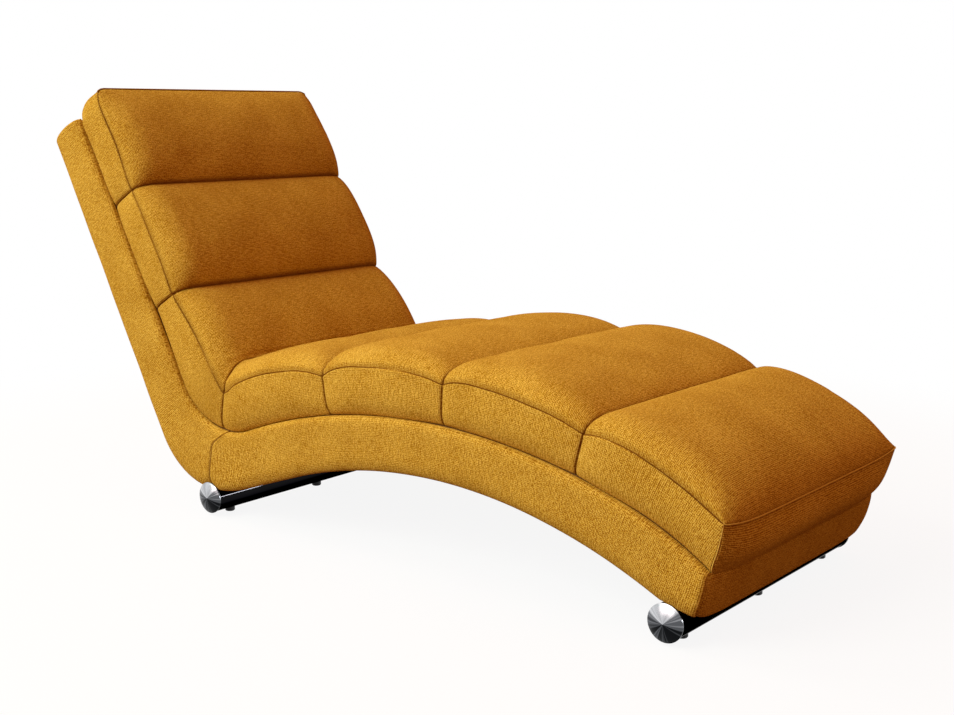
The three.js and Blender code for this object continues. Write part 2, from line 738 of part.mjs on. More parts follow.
function addCushions(prefix, endShares, crownShares) {
  for (let index = 0; index < endShares.length - 1; index += 1) {
    const [fromShare, toShare] = endShares.slice(index, index + 2);
    const channelAt = (share) => (share === bendChannelShare ? bendChannelHeight : channelHeight);
    const ends = {
      freeHead: fromShare === 0,
      freeFoot: toShare === 1,
      headChannel: channelAt(fromShare),
      footChannel: channelAt(toShare),
    };
    const from = deck.length * fromShare + (ends.freeHead ? 0 : clearance / 2);
    const to = deck.length * toShare - (ends.freeFoot ? 0 : clearance / 2);
    const cushion = cushionGeometry(from, to, crownHeight * crownShares[index], ends);
    addPiece(`${prefix}_cushion_${index + 1}`, cushion, mustardFabric);
  }
}

addSidePads();
addSidePanels();
addDeckPad();
addStraps('back', backStrapCount, backStrapRangeShares);
addStraps('seat', seatStrapCount, seatStrapRangeShares);
addRail('back_rail_upper', backRailUpperShare);
addRail('back_rail_lower', backRailLowerShare);
addRail('seat_rail', seatRailShare);
addHeadEnd();
addFootEnd();
addOutside();
for (const tube of tubes) {
  addTubeRail(tube);
  addSaddles(tube);
  addBolts(tube);
  addTube(tube);
  addCaps(tube);
  addRubberFeet(tube);
}
addCushions('back', backCushionEndShares, backCrownShares);
addCushions('seat', seatCushionEndShares, seatCrownShares);

// The finished piece stands with the middle of its length over the origin
const box = new THREE.Box3().setFromObject(assembly);
assembly.position.x = -(box.min.x + box.max.x) / 2;

const chaiseLongue = new THREE.Group();
chaiseLongue.add(assembly);

export default chaiseLongue;
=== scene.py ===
# %% [markdown]
# # An upholstered chaise longue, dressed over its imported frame
# The real piece is a one-person lounger: a bent, padded base in mustard chenille, seven cushions sewn
# side by side along its top, and two gloss black tubes with polished caps under it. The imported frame
# has every piece at its true size. This lesson keeps those sizes and gives each piece its looks:
# cushions that are stuffed like cushions, seams closed by a thin cord, woven cloth, lacquer, chrome and
# rubber.
# Everything is in metres, with +X towards the foot, +Y to the sitter's left and +Z up.

import math

import bpy
import numpy as np
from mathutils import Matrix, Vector


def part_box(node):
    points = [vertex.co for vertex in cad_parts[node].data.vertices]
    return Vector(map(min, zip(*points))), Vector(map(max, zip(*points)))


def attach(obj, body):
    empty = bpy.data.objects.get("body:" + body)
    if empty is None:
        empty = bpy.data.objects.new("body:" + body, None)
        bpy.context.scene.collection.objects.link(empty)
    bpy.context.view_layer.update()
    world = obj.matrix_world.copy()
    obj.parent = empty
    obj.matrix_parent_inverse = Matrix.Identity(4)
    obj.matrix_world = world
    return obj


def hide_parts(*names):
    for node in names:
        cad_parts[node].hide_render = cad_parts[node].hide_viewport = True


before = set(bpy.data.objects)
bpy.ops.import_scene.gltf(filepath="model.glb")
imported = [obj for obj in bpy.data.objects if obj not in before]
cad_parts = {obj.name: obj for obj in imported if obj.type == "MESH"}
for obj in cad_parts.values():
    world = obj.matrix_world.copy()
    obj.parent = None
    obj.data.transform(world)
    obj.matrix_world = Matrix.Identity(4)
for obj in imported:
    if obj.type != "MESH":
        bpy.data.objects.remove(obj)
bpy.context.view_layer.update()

# %% [markdown]
# ## The two side lines
# Seen from the side, the lounger is drawn by two smooth lines. The deck line is where the cushions
# lie: straight down the back, round the tight bend, over the long crest of the seat and down to the
# foot. The outside line runs down the rear, round the heel, and under the arch. A spline through
# points could draw them too, but straight and round runs that join smoothly are what an upholstery
# template has, and every cushion can then be placed by its distance along the deck and its height
# above it.

# %% A line of straight and round runs
class SideLine:
    """A smooth line in the side view. A place on it is a distance along it, moved to its left."""

    STEP = 0.001

    def __init__(self, start, heading_degrees):
        self.x, self.z = [start[0]], [start[1]]
        self.heading = [math.radians(heading_degrees)]
        self.distance = [0.0]

    def run(self, length, turn_degrees=0.0):
        steps = max(2, round(length / self.STEP))
        turn = math.radians(turn_degrees) / steps
        for _ in range(steps):
            chord_heading = self.heading[-1] + turn / 2
            self.x.append(self.x[-1] + math.cos(chord_heading) * length / steps)
            self.z.append(self.z[-1] + math.sin(chord_heading) * length / steps)
            self.heading.append(self.heading[-1] + turn)
            self.distance.append(self.distance[-1] + length / steps)
        return self

    def arc(self, radius, turn_degrees):
        return self.run(radius * abs(math.radians(turn_degrees)), turn_degrees)

    def arc_to(self, x, z):
        dx, dz, heading = x - self.x[-1], z - self.z[-1], self.heading[-1]
        along = dx * math.cos(heading) + dz * math.sin(heading)
        across = dz * math.cos(heading) - dx * math.sin(heading)
        radius = (dx * dx + dz * dz) / (2 * abs(across))
        return self.arc(radius, math.degrees(2 * math.atan2(across, along)))

    @property
    def length(self):
        return self.distance[-1]

    def at(self, distance, left=0.0):
        """X and Z at a distance along the line, carried straight on past its ends."""
        inside = np.clip(distance, 0.0, self.length)
        heading = np.interp(inside, self.distance, self.heading)
        beyond, ahead, up = distance - inside, np.cos(heading), np.sin(heading)
        x = np.interp(inside, self.distance, self.x) + ahead * beyond - up * left
        z = np.interp(inside, self.distance, self.z) + up * beyond + ahead * left
        return x, z


# %% Draw the deck line and the outside line
def middle(node):
    low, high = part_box(node)
    return (low + high) / 2


REAR_TUBE = middle("rear_tube")
FRONT_TUBE = middle("front_tube")
TUBE_RADIUS = 0.0307
TUBE_TOP = REAR_TUBE.z + TUBE_RADIUS
CAP_RADIUS = 0.0323
HALF_WIDTH = 0.308
BACK_ANGLE, BACK_LENGTH, BEND_RADIUS = 59.4, 0.629, 0.160
BEND_AHEAD_OF_TUBE, BEND_ABOVE_TUBE = 0.064, 0.1176
SEAT_RISE, CREST_END, FOOT_FALL = 20.8, 18.7, 34.3
CREST_RADIUS, FOOT_RADIUS = 1.314, 0.640

back_heading = math.radians(-BACK_ANGLE)
bend_start_x = REAR_TUBE.x + BEND_AHEAD_OF_TUBE + BEND_RADIUS * math.sin(back_heading)
bend_start_z = TUBE_TOP + BEND_ABOVE_TUBE + BEND_RADIUS * (1 - math.cos(back_heading))
head_x = bend_start_x - BACK_LENGTH * math.cos(back_heading)
head_z = bend_start_z - BACK_LENGTH * math.sin(back_heading)
deck = (
    SideLine((head_x, head_z), -BACK_ANGLE)
    .run(BACK_LENGTH)
    .arc(BEND_RADIUS, BACK_ANGLE + SEAT_RISE)
    .arc(CREST_RADIUS, -(SEAT_RISE + CREST_END))
    .arc(FOOT_RADIUS, -(FOOT_FALL - CREST_END))
)

HEAD_THICKNESS, BACK_TAPER, HEEL_RADIUS = 0.098, 1.9, 0.175
HOLLOW_RADIUS, HOLLOW_TURN, HOLLOW_RUN = 0.300, 18.8, 0.160
TOE_RADIUS, TOE_TURN, TOE_RUN = 0.100, 14.0, 0.047
HEEL_BELOW_TUBE_TOP = 0.0094
ARCH_END = (FRONT_TUBE.x - 0.018, TUBE_TOP + 0.0076)

outer_angle = BACK_ANGLE + BACK_TAPER
outer_x, outer_z = deck.at(0.0, -HEAD_THICKNESS)
heel_drop = HEEL_RADIUS * (1 - math.cos(math.radians(outer_angle)))
outer_drop = outer_z - (TUBE_TOP - HEEL_BELOW_TUBE_TOP) - heel_drop
outer_straight = outer_drop / math.sin(math.radians(outer_angle))
outside = (
    SideLine((float(outer_x), float(outer_z)), -outer_angle)
    .run(outer_straight)
    .arc(HEEL_RADIUS, outer_angle)
    .arc(HOLLOW_RADIUS, HOLLOW_TURN)
    .run(HOLLOW_RUN)
    .arc_to(*ARCH_END)
    .arc(TOE_RADIUS, TOE_TURN)
    .run(TOE_RUN)
)
print(f"deck {deck.length:.4f} m, outside {outside.length:.4f} m")

# %% [markdown]
# ## The camera
# The photograph was taken from the lounger's right, a little beyond its foot and just above the seat.
# The tubes, the seams across the width and the side outline fit one camera to about a pixel, so the
# camera is set to that fit and isn't guessed by eye.

# %% Set up the camera
PHOTO_WIDTH_PIXELS, FOCAL_PIXELS = 954.0, 1342.0
CAMERA_TILT_DOWN, CAMERA_TURN = 10.36, 39.35

camera_data = bpy.data.cameras.new("photo_camera")
camera_data.sensor_width = 36.0
camera_data.sensor_fit = "HORIZONTAL"
camera_data.lens = camera_data.sensor_width * FOCAL_PIXELS / PHOTO_WIDTH_PIXELS
camera_data.clip_start, camera_data.clip_end = 0.05, 100.0
camera = bpy.data.objects.new("photo_camera", camera_data)
camera.location = (FRONT_TUBE.x + 1.029, -2.019, 0.821)
camera.rotation_euler = (math.radians(90 - CAMERA_TILT_DOWN), 0.0, math.radians(CAMERA_TURN))
bpy.context.scene.collection.objects.link(camera)
bpy.context.scene.camera = camera
print("camera at", [round(v, 3) for v in camera.location], "lens", round(camera_data.lens, 2))

# %% [markdown]
# ## One small language for node trees
# Shader maths reads best as arithmetic. `Wire` wraps one output of a node and overloads the
# operators, so `1 - mask` adds its own Math node. Every other node comes from one method, `add`,
# which takes the node's type, its settings and the values or wires of its sockets. The same class
# builds the Geometry Nodes trees further down.

# %% A wire and a tree
class Wire:
    """One output of a node, which takes part in sums."""

    def __init__(self, tree, socket):
        self.tree, self.socket = tree, socket

    def sum_node(self, operation, first, second):
        return self.tree.add("ShaderNodeMath", {"operation": operation}, {0: first, 1: second})

    def __add__(self, other):
        return self.sum_node("ADD", self, other)

    def __radd__(self, other):
        return self.sum_node("ADD", other, self)

    def __sub__(self, other):
        return self.sum_node("SUBTRACT", self, other)

    def __rsub__(self, other):
        return self.sum_node("SUBTRACT", other, self)

    def __mul__(self, other):
        return self.sum_node("MULTIPLY", self, other)

    def __rmul__(self, other):
        return self.sum_node("MULTIPLY", other, self)


class NodeTree:
    """A node tree with one method that adds any node."""

    def __init__(self, tree):
        self.nodes, self.links = tree.nodes, tree.links

    def add(self, kind, settings=None, sockets=None, output=0):
        node = self.nodes.new(kind)
        for name, value in (settings or {}).items():
            if name == "stops":
                elements = node.color_ramp.elements
                while len(elements) < len(value):
                    elements.new(1.0)
                for element, (place, colour) in zip(elements, value):
                    element.position, element.color = place, colour
            else:
                setattr(node, name, value)
        for name, value in (sockets or {}).items():
            if isinstance(value, Wire):
                self.links.new(value.socket, node.inputs[name])
            else:
                node.inputs[name].default_value = value
        return Wire(self, node.outputs[output]) if node.outputs else node

    def output_of(self, wire, name):
        """Another output of the node that a wire comes from."""
        return Wire(self, wire.socket.node.outputs[name])

    def noise(self, place, scale, detail, flat=True, **more):
        """A noise, flat on a UV map or solid on Object coordinates."""
        settings = {"noise_dimensions": "2D"} if flat else None
        sockets = {"Vector": place, "Scale": scale, "Detail": detail, **more}
        return self.add("ShaderNodeTexNoise", settings, sockets)

    def bands(self, direction, place, scale, wander, **more):
        """Even bands like rows of thread, which rise and fall between 0 and 1 in one direction."""
        settings = {"wave_type": "BANDS", "wave_profile": "SIN", "bands_direction": direction}
        sockets = {"Vector": place, "Scale": scale, "Distortion": wander, **named(more)}
        return self.add("ShaderNodeTexWave", settings, sockets, output="Fac")

    def blend(self, factor, *stops):
        """A ramp of screen colours, each with its place."""
        stops = [(place, linear(*colour)) for place, colour in stops]
        return self.add("ShaderNodeValToRGB", {"stops": stops}, {"Fac": factor})

    def uv_map(self):
        return self.add("ShaderNodeUVMap", {"uv_map": "UVMap"})

    def object_place(self):
        return self.add("ShaderNodeTexCoord", output="Object")

    def bump(self, height, strength, distance):
        sockets = {"Strength": strength, "Distance": distance, "Height": height}
        return self.add("ShaderNodeBump", None, sockets)

    def largest(self, *wires):
        """The largest of several wires or numbers."""
        result = wires[0]
        for wire in wires[1:]:
            result = self.add("ShaderNodeMath", {"operation": "MAXIMUM"}, {0: result, 1: wire})
        return result


def named(words):
    """Socket names with spaces, from keywords with underscores."""
    return {word.replace("_", " "): value for word, value in words.items()}


def linear(red, green, blue):
    """A colour as it is read off a screen, from 0 to 255, as the shader wants it."""
    shares = (red / 255, green / 255, blue / 255)
    return tuple(c / 12.92 if c <= 0.04045 else ((c + 0.055) / 1.055) ** 2.4 for c in shares) + (1.0,)


def new_finish(name, base_settings):
    """A material with one Principled shader. Gives the material, its tree and the shader's wire."""
    material = bpy.data.materials.new(name)
    material.use_nodes = True
    material.node_tree.nodes.clear()
    tree = NodeTree(material.node_tree)
    shader = tree.add("ShaderNodeBsdfPrincipled", None, base_settings)
    tree.add("ShaderNodeOutputMaterial", None, {"Surface": shader})
    return material, tree, shader.socket.node


def feed(tree, shader, **wires):
    """Links wires to the shader's sockets."""
    for name, wire in named(wires).items():
        tree.links.new(wire.socket, shader.inputs[name])


# %% [markdown]
# ## Mustard chenille
# The cover is a flat-woven chenille: short fuzzy yarns a few millimetres thick, packed in rows, with
# dark pinholes between them and longer slubs that run across each panel. It is matt, and its fuzz
# catches light at grazing angles, which is why the lit edges look yellow and the shaded ones brown.
# A photograph of cloth could be laid on, but it would repeat and blur. A procedural weave stays sharp,
# and it reads the piece's own UV map in metres, so the rows follow every panel round its curves. Each
# mesh also carries an attribute called seam, which is above 0 where shade is painted into a crease and
# below 0 where a highlight is painted on a proud edge. The finish darkens and brightens the yarn by it.

# %% The chenille finish
PILE_DEEP, PILE_BODY, PILE_BRIGHT = (136, 90, 17), (195, 154, 51), (222, 188, 88)
# The colour of the shade painted into creases and channels.
PAINTED_CREASE_SHADE = (92, 34, 2)
RIB_PITCH, CROSSING_PITCH = 0.0029, 0.0031
SLUBS_PER_METRE = (75.0, 330.0)


def chenille():
    sheen = {"Sheen Weight": 0.16, "Sheen Roughness": 0.5, "Sheen Tint": linear(255, 190, 84)}
    settings = {"Roughness": 0.9, "Specular IOR Level": 0.0, **sheen}
    material, tree, shader = new_finish("mustard_chenille", settings)
    uv = tree.uv_map()

    def threads(direction, pitch, wander):
        return tree.bands(direction, uv, math.pi / (10 * pitch), wander, Detail=2.0, Detail_Scale=1.6)

    ribs, crossings = threads("Y", RIB_PITCH, 1.9), threads("X", CROSSING_PITCH, 2.1)
    rows = tree.add("ShaderNodeMapping", None, {"Vector": uv, "Scale": (*SLUBS_PER_METRE, 1.0)})
    slub, cloud = tree.noise(rows, 1.0, 3.0), tree.noise(uv, 11.0, 3.0)
    fuzz, fleck = tree.noise(uv, 1500.0, 2.0), tree.noise(uv, 430.0, 1.0)
    # The seam attribute paints shade into creases above 0, and a highlight on proud edges below 0.
    painted_shade_and_highlight = tree.add("ShaderNodeAttribute", {"attribute_name": "seam"}, output="Fac")
    painted_highlight = tree.largest(painted_shade_and_highlight * -1.0, 0.0)
    weave = ribs * 0.30 + crossings * 0.16 + ribs * crossings * 0.10
    height = weave + slub * 0.54 + fuzz * 0.25 + fleck * 0.3
    tone = (height - 0.83) * 1.25 + (fleck - 0.5) * 0.8 + (cloud - 0.5) * 0.3 + painted_highlight + 0.5
    yarn = tree.blend(tone, (0.15, PILE_DEEP), (0.5, PILE_BODY), (0.85, PILE_BRIGHT))
    sockets = {0: painted_shade_and_highlight, 6: yarn, 7: linear(*PAINTED_CREASE_SHADE)}
    colour = tree.add("ShaderNodeMix", {"data_type": "RGBA"}, sockets, output=2)
    feed(tree, shader, Base_Color=colour, Normal=tree.bump(height, 0.6, 0.0010))
    return material


CHENILLE = chenille()
print("finish", CHENILLE.name)

# %% [markdown]
# ## A box of panels
# A cushion is sewn from panels: a top, an underside, two side strips and two ends. So its mesh starts
# as the skin of a box-shaped grid whose faces are those panels and whose edges are the seams. A
# voxel remesh would also give an even net, but it forgets where the seams are. Here every point
# keeps its place in the box, u along, v across and w up, and a shape rule turns that into metres.

# %% The skin of a box-shaped grid
PANELS = ("head", "foot", "right", "left", "underside", "top")
NEAR_SEAM = (0.0, 0.001, 0.0022, 0.004, 0.007)
NEAR_PAD_EDGE = (0.0, 0.001, 0.0025, 0.0045, 0.007, 0.0105, 0.016)


def evenly(length, step, fine):
    """Places from 0 to 1 along a length: close together at the seams and a step apart between them."""
    start = list(fine)
    end = [length - place for place in reversed(fine)]
    room = end[0] - start[-1]
    count = max(1, round(room / step))
    between = [start[-1] + room * i / count for i in range(1, count)]
    return np.array(start + between + end) / length


def box_skin(us, vs, ws):
    """Places (u, v, w) of the skin's points, its faces, and the panel that each face belongs to."""
    counts = (len(us), len(vs), len(ws))
    index_of, places = {}, []

    def vertex(i, j, k):
        if (i, j, k) not in index_of:
            index_of[(i, j, k)] = len(places)
            places.append((us[i], vs[j], ws[k]))
        return index_of[(i, j, k)]

    faces, panels = [], []
    for axis in range(3):
        across, up = (axis + 1) % 3, (axis + 2) % 3
        for end in (0, 1):
            for a in range(counts[across] - 1):
                for b in range(counts[up] - 1):
                    corner = []
                    for da, db in ((0, 0), (1, 0), (1, 1), (0, 1)):
                        place = [0, 0, 0]
                        place[axis] = end * (counts[axis] - 1)
                        place[across], place[up] = a + da, b + db
                        corner.append(vertex(*place))
                    faces.append(corner if end else corner[::-1])
                    panels.append(PANELS[2 * axis + end])
    return np.array(places), faces, panels


def round_corner(along, across, radius):
    """Bends a square corner of the plan into a round one. Both are distances in from its two edges."""
    a, b = np.clip(radius - along, 0, radius), np.clip(radius - across, 0, radius)
    longest, diagonal = np.maximum(a, b), np.hypot(a, b)
    scale = np.where(diagonal > 0, longest / np.maximum(diagonal, 1e-9), 1.0)
    return np.where(a > 0, radius - a * scale, along), np.where(b > 0, radius - b * scale, across)


def smooth_table(share, table):
    """A smooth curve through measured (share, value) pairs."""
    shares, values = np.array(table).T
    slopes = np.gradient(values, shares)
    i = np.clip(np.searchsorted(shares, share) - 1, 0, len(shares) - 2)
    width = shares[i + 1] - shares[i]
    t = np.clip((share - shares[i]) / width, 0, 1)
    return (
        (2 * t**3 - 3 * t**2 + 1) * values[i]
        + (t**3 - 2 * t**2 + t) * width * slopes[i]
        + (3 * t**2 - 2 * t**3) * values[i + 1]
        + (t**3 - t**2) * width * slopes[i + 1]
    )


# %% [markdown]
# ## The shape of a cushion
# Each cushion is crowned along its length and across its width. Its side seams follow their own low
# arch and dip where one cushion meets the next, at the sewn channels. The foam bulges towards the
# bend of the chair, so the back cushions are full at their lower end and the seat cushions at their
# upper end. The head end is rounded and leans out over the base, and the foot end has a seam across
# it, with a full face below. The seam heights are measured from the photograph, as shares along each
# cushion and metres above the deck.

# %% Measured seam heights and ends of the seven cushions
HEAD_CUSHION, FOOT_CUSHION = "back_cushion_1", "seat_cushion_4"
CUSHIONS = {
    "back_cushion_1": (
        (0.0, 0.2142),
        [(0, 0.089), (0.12, 0.085), (0.31, 0.085), (0.49, 0.087), (0.66, 0.085), (0.83, 0.081), (1, 0.075)],
    ),
    "back_cushion_2": (
        (0.2142, 0.4552),
        [(0, 0.075), (0.13, 0.080), (0.31, 0.082), (0.48, 0.083), (0.63, 0.083), (0.8, 0.080), (1, 0.073)],
    ),
    "back_cushion_3": (
        (0.4552, 0.7732),
        [(0, 0.073), (0.07, 0.078), (0.19, 0.088), (0.31, 0.096)]
        + [(0.45, 0.102), (0.7, 0.102), (0.88, 0.091), (1, 0.077)],
    ),
    "seat_cushion_1": (
        (0.7732, 1.0916),
        [(0, 0.077), (0.1, 0.085), (0.29, 0.096), (0.46, 0.099)]
        + [(0.66, 0.096), (0.82, 0.091), (0.92, 0.084), (1, 0.075)],
    ),
    "seat_cushion_2": (
        (1.0916, 1.3727),
        [(0, 0.075), (0.075, 0.084), (0.18, 0.090), (0.4, 0.091)]
        + [(0.6, 0.090), (0.8, 0.086), (0.9, 0.082), (1, 0.075)],
    ),
    "seat_cushion_3": (
        (1.3727, 1.6569),
        [(0, 0.075), (0.06, 0.082), (0.15, 0.087), (0.31, 0.088), (0.62, 0.086), (0.88, 0.081), (1, 0.075)],
    ),
    "seat_cushion_4": (
        (1.6569, deck.length),
        [(0, 0.075), (0.076, 0.083), (0.18, 0.088), (0.33, 0.090), (0.47, 0.088)]
        + [(0.66, 0.085), (0.8, 0.083), (0.92, 0.082), (1, 0.082)],
    ),
}
CROWN_TOPS = {
    "back_cushion_1": 0.131,
    "back_cushion_2": 0.140,
    "back_cushion_3": 0.153,
    "seat_cushion_1": 0.140,
    "seat_cushion_2": 0.130,
    "seat_cushion_3": 0.131,
    "seat_cushion_4": 0.132,
}
print("cushion lengths", {name: round(ends[1] - ends[0], 3) for name, (ends, _) in CUSHIONS.items()})

# %% How a cushion rises over its length and width
CHANNEL_TOP, BEND_CHANNEL_TOP = 0.098, 0.140
CHANNEL_SHOULDER, CROWN_SHOULDER = 0.052, 0.058
CREST_AT = {"head": 0.42, "foot": 0.58}
STEEP_END, GENTLE_END, CROWN_ROUNDNESS = 0.50, 0.66, 2.6
FAR_CORNER_FULLNESS = 0.009


def cushion_lift(u, full_end):
    """How far the crown has risen at a share of the length, steeper at the end where the foam is full."""
    crest = CREST_AT[full_end]
    head_power, foot_power = (STEEP_END, GENTLE_END) if full_end == "head" else (GENTLE_END, STEEP_END)
    near_head = np.clip(1 - u / crest, 0, 1)
    near_foot = np.clip((u - crest) / (1 - crest), 0, 1)
    return (1 - near_head**CROWN_ROUNDNESS) ** head_power * (1 - near_foot**CROWN_ROUNDNESS) ** foot_power


def shoulder(from_side, reach):
    """A round rise from 0 at the side seam to 1 a reach further in."""
    return np.sqrt(1 - (1 - np.clip(from_side / reach, 0, 1)) ** 2)


def top_height(name, u, v, seam, lift, free, seam_half_width, crown_share):
    """Height of the top panel: from the seam up to the channels, and from them up to the crown."""
    bend_end = {"back_cushion_3": u, "seat_cushion_1": 1 - u}.get(name, 0 * u)
    channel_top = CHANNEL_TOP + (BEND_CHANNEL_TOP - CHANNEL_TOP) * bend_end**2
    base_height = np.maximum(np.where(free, seam, channel_top), seam)
    from_side = (1 - np.abs(v)) * seam_half_width
    crowned = 1 - (1 - np.clip(from_side / HALF_WIDTH, 0, 1)) ** 2
    full_shoulder = 0.95 * shoulder(from_side, CROWN_SHOULDER) + 0.05 * crowned
    top = seam + (base_height - seam) * shoulder(from_side, CHANNEL_SHOULDER)
    top = top + (CROWN_TOPS[name] - base_height) * lift * full_shoulder * crown_share
    if name == FOOT_CUSHION:
        far_corner = np.clip((u - 0.80) / 0.20, 0, 1) ** 2 * np.clip((v - 0.6) / 0.4, 0, 1) ** 2
        top = top + FAR_CORNER_FULLNESS * far_corner
    return top


# %% How the sides and the two free ends swell and draw in
TUCK_HEIGHT, TUCK_DEPTH = 0.027, 0.0125
SIDE_PUFF = 0.006
CHANNEL_ROUND = 0.006
HEAD_CORNER, FOOT_CORNER = 0.024, 0.005
HEAD_LEAN, HEAD_SWELL = 0.020, 0.013
FOOT_LOW_MIDDLE, FOOT_LOW_CORNER = 0.015, 0.003
FOOT_LEAN_MIDDLE, FOOT_LEAN_CORNER = 0.026, 0.014
FOOT_DROP_RIGHT, FOOT_DROP_LEFT = 0.012, 0.002
FOOT_SWELL_CORNER, FOOT_SWELL_MIDDLE = 0.0045, 0.0135


def side_half_width(w, height, seam_half_width, puff):
    """Half width of a side strip: tucked in round at the deck, full in the middle, drawn in at the seam."""
    up = w * height
    in_tuck = np.clip(1 - up / TUCK_HEIGHT, 0, 1)
    tuck = TUCK_DEPTH * (1 - np.sqrt(1 - in_tuck**2))
    return seam_half_width + puff * np.sin(np.pi * np.clip(w, 0, 1)) ** 0.8 - tuck


def foot_end_reach(u, v, w, puff_share):
    """How far the foot end's face leans and swells beyond the square end of its grid."""
    corner_share = np.abs(v) ** 8
    edge_fade = 1 - corner_share
    lowest = FOOT_LOW_MIDDLE * edge_fade + FOOT_LOW_CORNER * (1 - edge_fade)
    fall = FOOT_LEAN_MIDDLE * edge_fade + FOOT_LEAN_CORNER * (1 - edge_fade)
    fall = fall + np.where(v < 0, FOOT_DROP_RIGHT, FOOT_DROP_LEFT) * corner_share
    bulge = puff_share * np.sin(np.pi * w) * (FOOT_SWELL_CORNER + FOOT_SWELL_MIDDLE * edge_fade)
    return np.clip((u - 0.6) / 0.4, 0, 1) ** 3 * (lowest - fall * w + bulge)


def head_end_reach(u, w, puff_share):
    """How far the head end leans out over the base and swells."""
    lean = -HEAD_LEAN * w**0.7 - HEAD_SWELL * puff_share * np.sin(np.pi * w**0.8)
    return np.clip((0.4 - u) / 0.4, 0, 1) ** 3 * lean


def round_end(s, y, strip, from_end, radius, inwards):
    """Rounds the two upright corners of a free end."""
    new_along, new_inward = round_corner(from_end, strip - np.abs(y), radius)
    return s + inwards * (new_along - from_end), np.sign(y) * (strip - new_inward)


def draw_in(y, v, from_end):
    """Draws the sides in where a cushion meets the next one at a sewn channel."""
    pinch = np.clip(CHANNEL_ROUND - from_end, 0, CHANNEL_ROUND)
    drawn = CHANNEL_ROUND - np.sqrt(CHANNEL_ROUND**2 - pinch**2)
    return y - np.sign(v) * np.abs(v) ** 6 * drawn * 0.8


# %% Metres for every place of a cushion
LYING_GAP = 0.0003
SEAM_INSET, CHANNEL_INSET = 0.003, 0.005


def cushion_shape(places, name, crown_share=1.0, puff_share=1.0):
    """Metres for every place of a cushion's skin, as (distance along deck, y, height above deck)."""
    (start, stop), seam_table = CUSHIONS[name]
    free_head, free_foot = name == HEAD_CUSHION, name == FOOT_CUSHION
    u, v, w = places.T
    length = stop - start
    from_head, from_foot = u * length, (1 - u) * length
    lift = cushion_lift(u, "foot" if name.startswith("back") else "head")
    seam = smooth_table(u, seam_table)
    free = np.where(u < 0.5, free_head, free_foot)
    seam_half_width = HALF_WIDTH - SEAM_INSET - np.where(free, 0.0, CHANNEL_INSET * (1 - lift))
    top = top_height(name, u, v, seam, lift, free, seam_half_width, crown_share)
    height = LYING_GAP + w * (top - LYING_GAP)
    strip = side_half_width(w, seam, seam_half_width, SIDE_PUFF * puff_share * (0.35 + 0.65 * lift))
    s, y = start + u * length, v * strip
    if free_foot:
        s = s + foot_end_reach(u, v, w, puff_share)
        s, y = round_end(s, y, strip, from_foot, FOOT_CORNER, -1)
    if free_head:
        s = s + head_end_reach(u, w, puff_share)
        s, y = round_end(s, y, strip, from_head, HEAD_CORNER, 1)
    if not free_head:
        y = draw_in(y, v, from_head)
        s = np.maximum(s, start + LYING_GAP / 2)
    if not free_foot:
        y = draw_in(y, v, from_foot)
        s = np.minimum(s, stop - LYING_GAP / 2)
    return s, y, height


def on_deck(s, y, height):
    x, z = deck.at(s, height)
    return np.column_stack([x, y, z])


# %% [markdown]
# ## Make a mesh and keep the cloth's own coordinates
# The UV map is in metres: along the slubs in U and across them in V. The top panels were cut with
# the slubs across the width, and the side strips with the slubs up the strip, as the photograph shows.

# %% Mesh and cloth coordinates
def panel_mesh(name, points, faces):
    mesh = bpy.data.meshes.new(name)
    mesh.from_pydata(points.tolist(), [], faces)
    mesh.validate()
    piece = bpy.data.objects.new(name, mesh)
    bpy.context.scene.collection.objects.link(piece)
    return piece


def lay_cloth(piece, coordinates, panels, slub_axis):
    """Writes the UV map. Coordinates are each point's (along, across, up) lengths in metres."""
    layer = piece.data.uv_layers.new(name="UVMap")
    flat = np.zeros((len(piece.data.loops), 2), np.float32)
    for face, panel in zip(piece.data.polygons, panels):
        first, second = slub_axis[panel]
        offset = 0.37 * PANELS.index(panel)
        for loop in face.loop_indices:
            at = coordinates[piece.data.loops[loop].vertex_index]
            flat[loop] = (at[first] + offset, at[second] + offset)
    layer.data.foreach_set("uv", flat.ravel())


CUSHION_SLUBS = {
    "top": (1, 3),
    "underside": (1, 0),
    "left": (2, 0),
    "right": (2, 0),
    "head": (1, 2),
    "foot": (1, 2),
}

# %% [markdown]
# ## Stuff it
# Foam under a tight cover pushes the panels out between their seams. Blender's Cloth with a little
# pressure does the same: the seams and the underside are pinned, the cover starts a bit too flat, and
# twenty frames of pressure fill it. A point may end no further than 2.8 mm from the measured shape, so
# the outline stays true while the panels take the soft, slightly uneven fullness of real padding.

# %% Fill a cover with pressure
COVER_SLACK = 0.0028


def fill_cover(piece, pinned, goal, pressure=4.0, frames=20):
    """Runs the cloth on a closed cover and gives its points, none further than the slack from their goal."""
    group = piece.vertex_groups.new(name="seams")
    group.add([int(i) for i in np.flatnonzero(pinned)], 1.0, "REPLACE")
    cloth = piece.modifiers.new("stuffing", "CLOTH")
    settings = cloth.settings
    settings.quality = 5
    settings.mass = 0.3
    settings.tension_stiffness = settings.compression_stiffness = 15
    settings.shear_stiffness = 5
    settings.bending_stiffness = 0.8
    settings.use_pressure = True
    settings.uniform_pressure_force = pressure
    settings.vertex_group_mass = "seams"
    settings.effector_weights.gravity = 0.0
    cloth.collision_settings.use_collision = False
    cloth.point_cache.frame_start, cloth.point_cache.frame_end = 1, frames
    scene = bpy.context.scene
    for frame_number in range(1, frames + 1):
        scene.frame_set(frame_number)
    evaluated = piece.evaluated_get(bpy.context.evaluated_depsgraph_get())
    filled = np.array([v.co for v in evaluated.data.vertices], float)
    piece.modifiers.remove(cloth)
    piece.vertex_groups.clear()
    scene.frame_set(1)
    away = filled - goal
    reach = np.linalg.norm(away, axis=1, keepdims=True)
    return goal + away * COVER_SLACK * np.tanh(reach / COVER_SLACK) / np.maximum(reach, 1e-9)
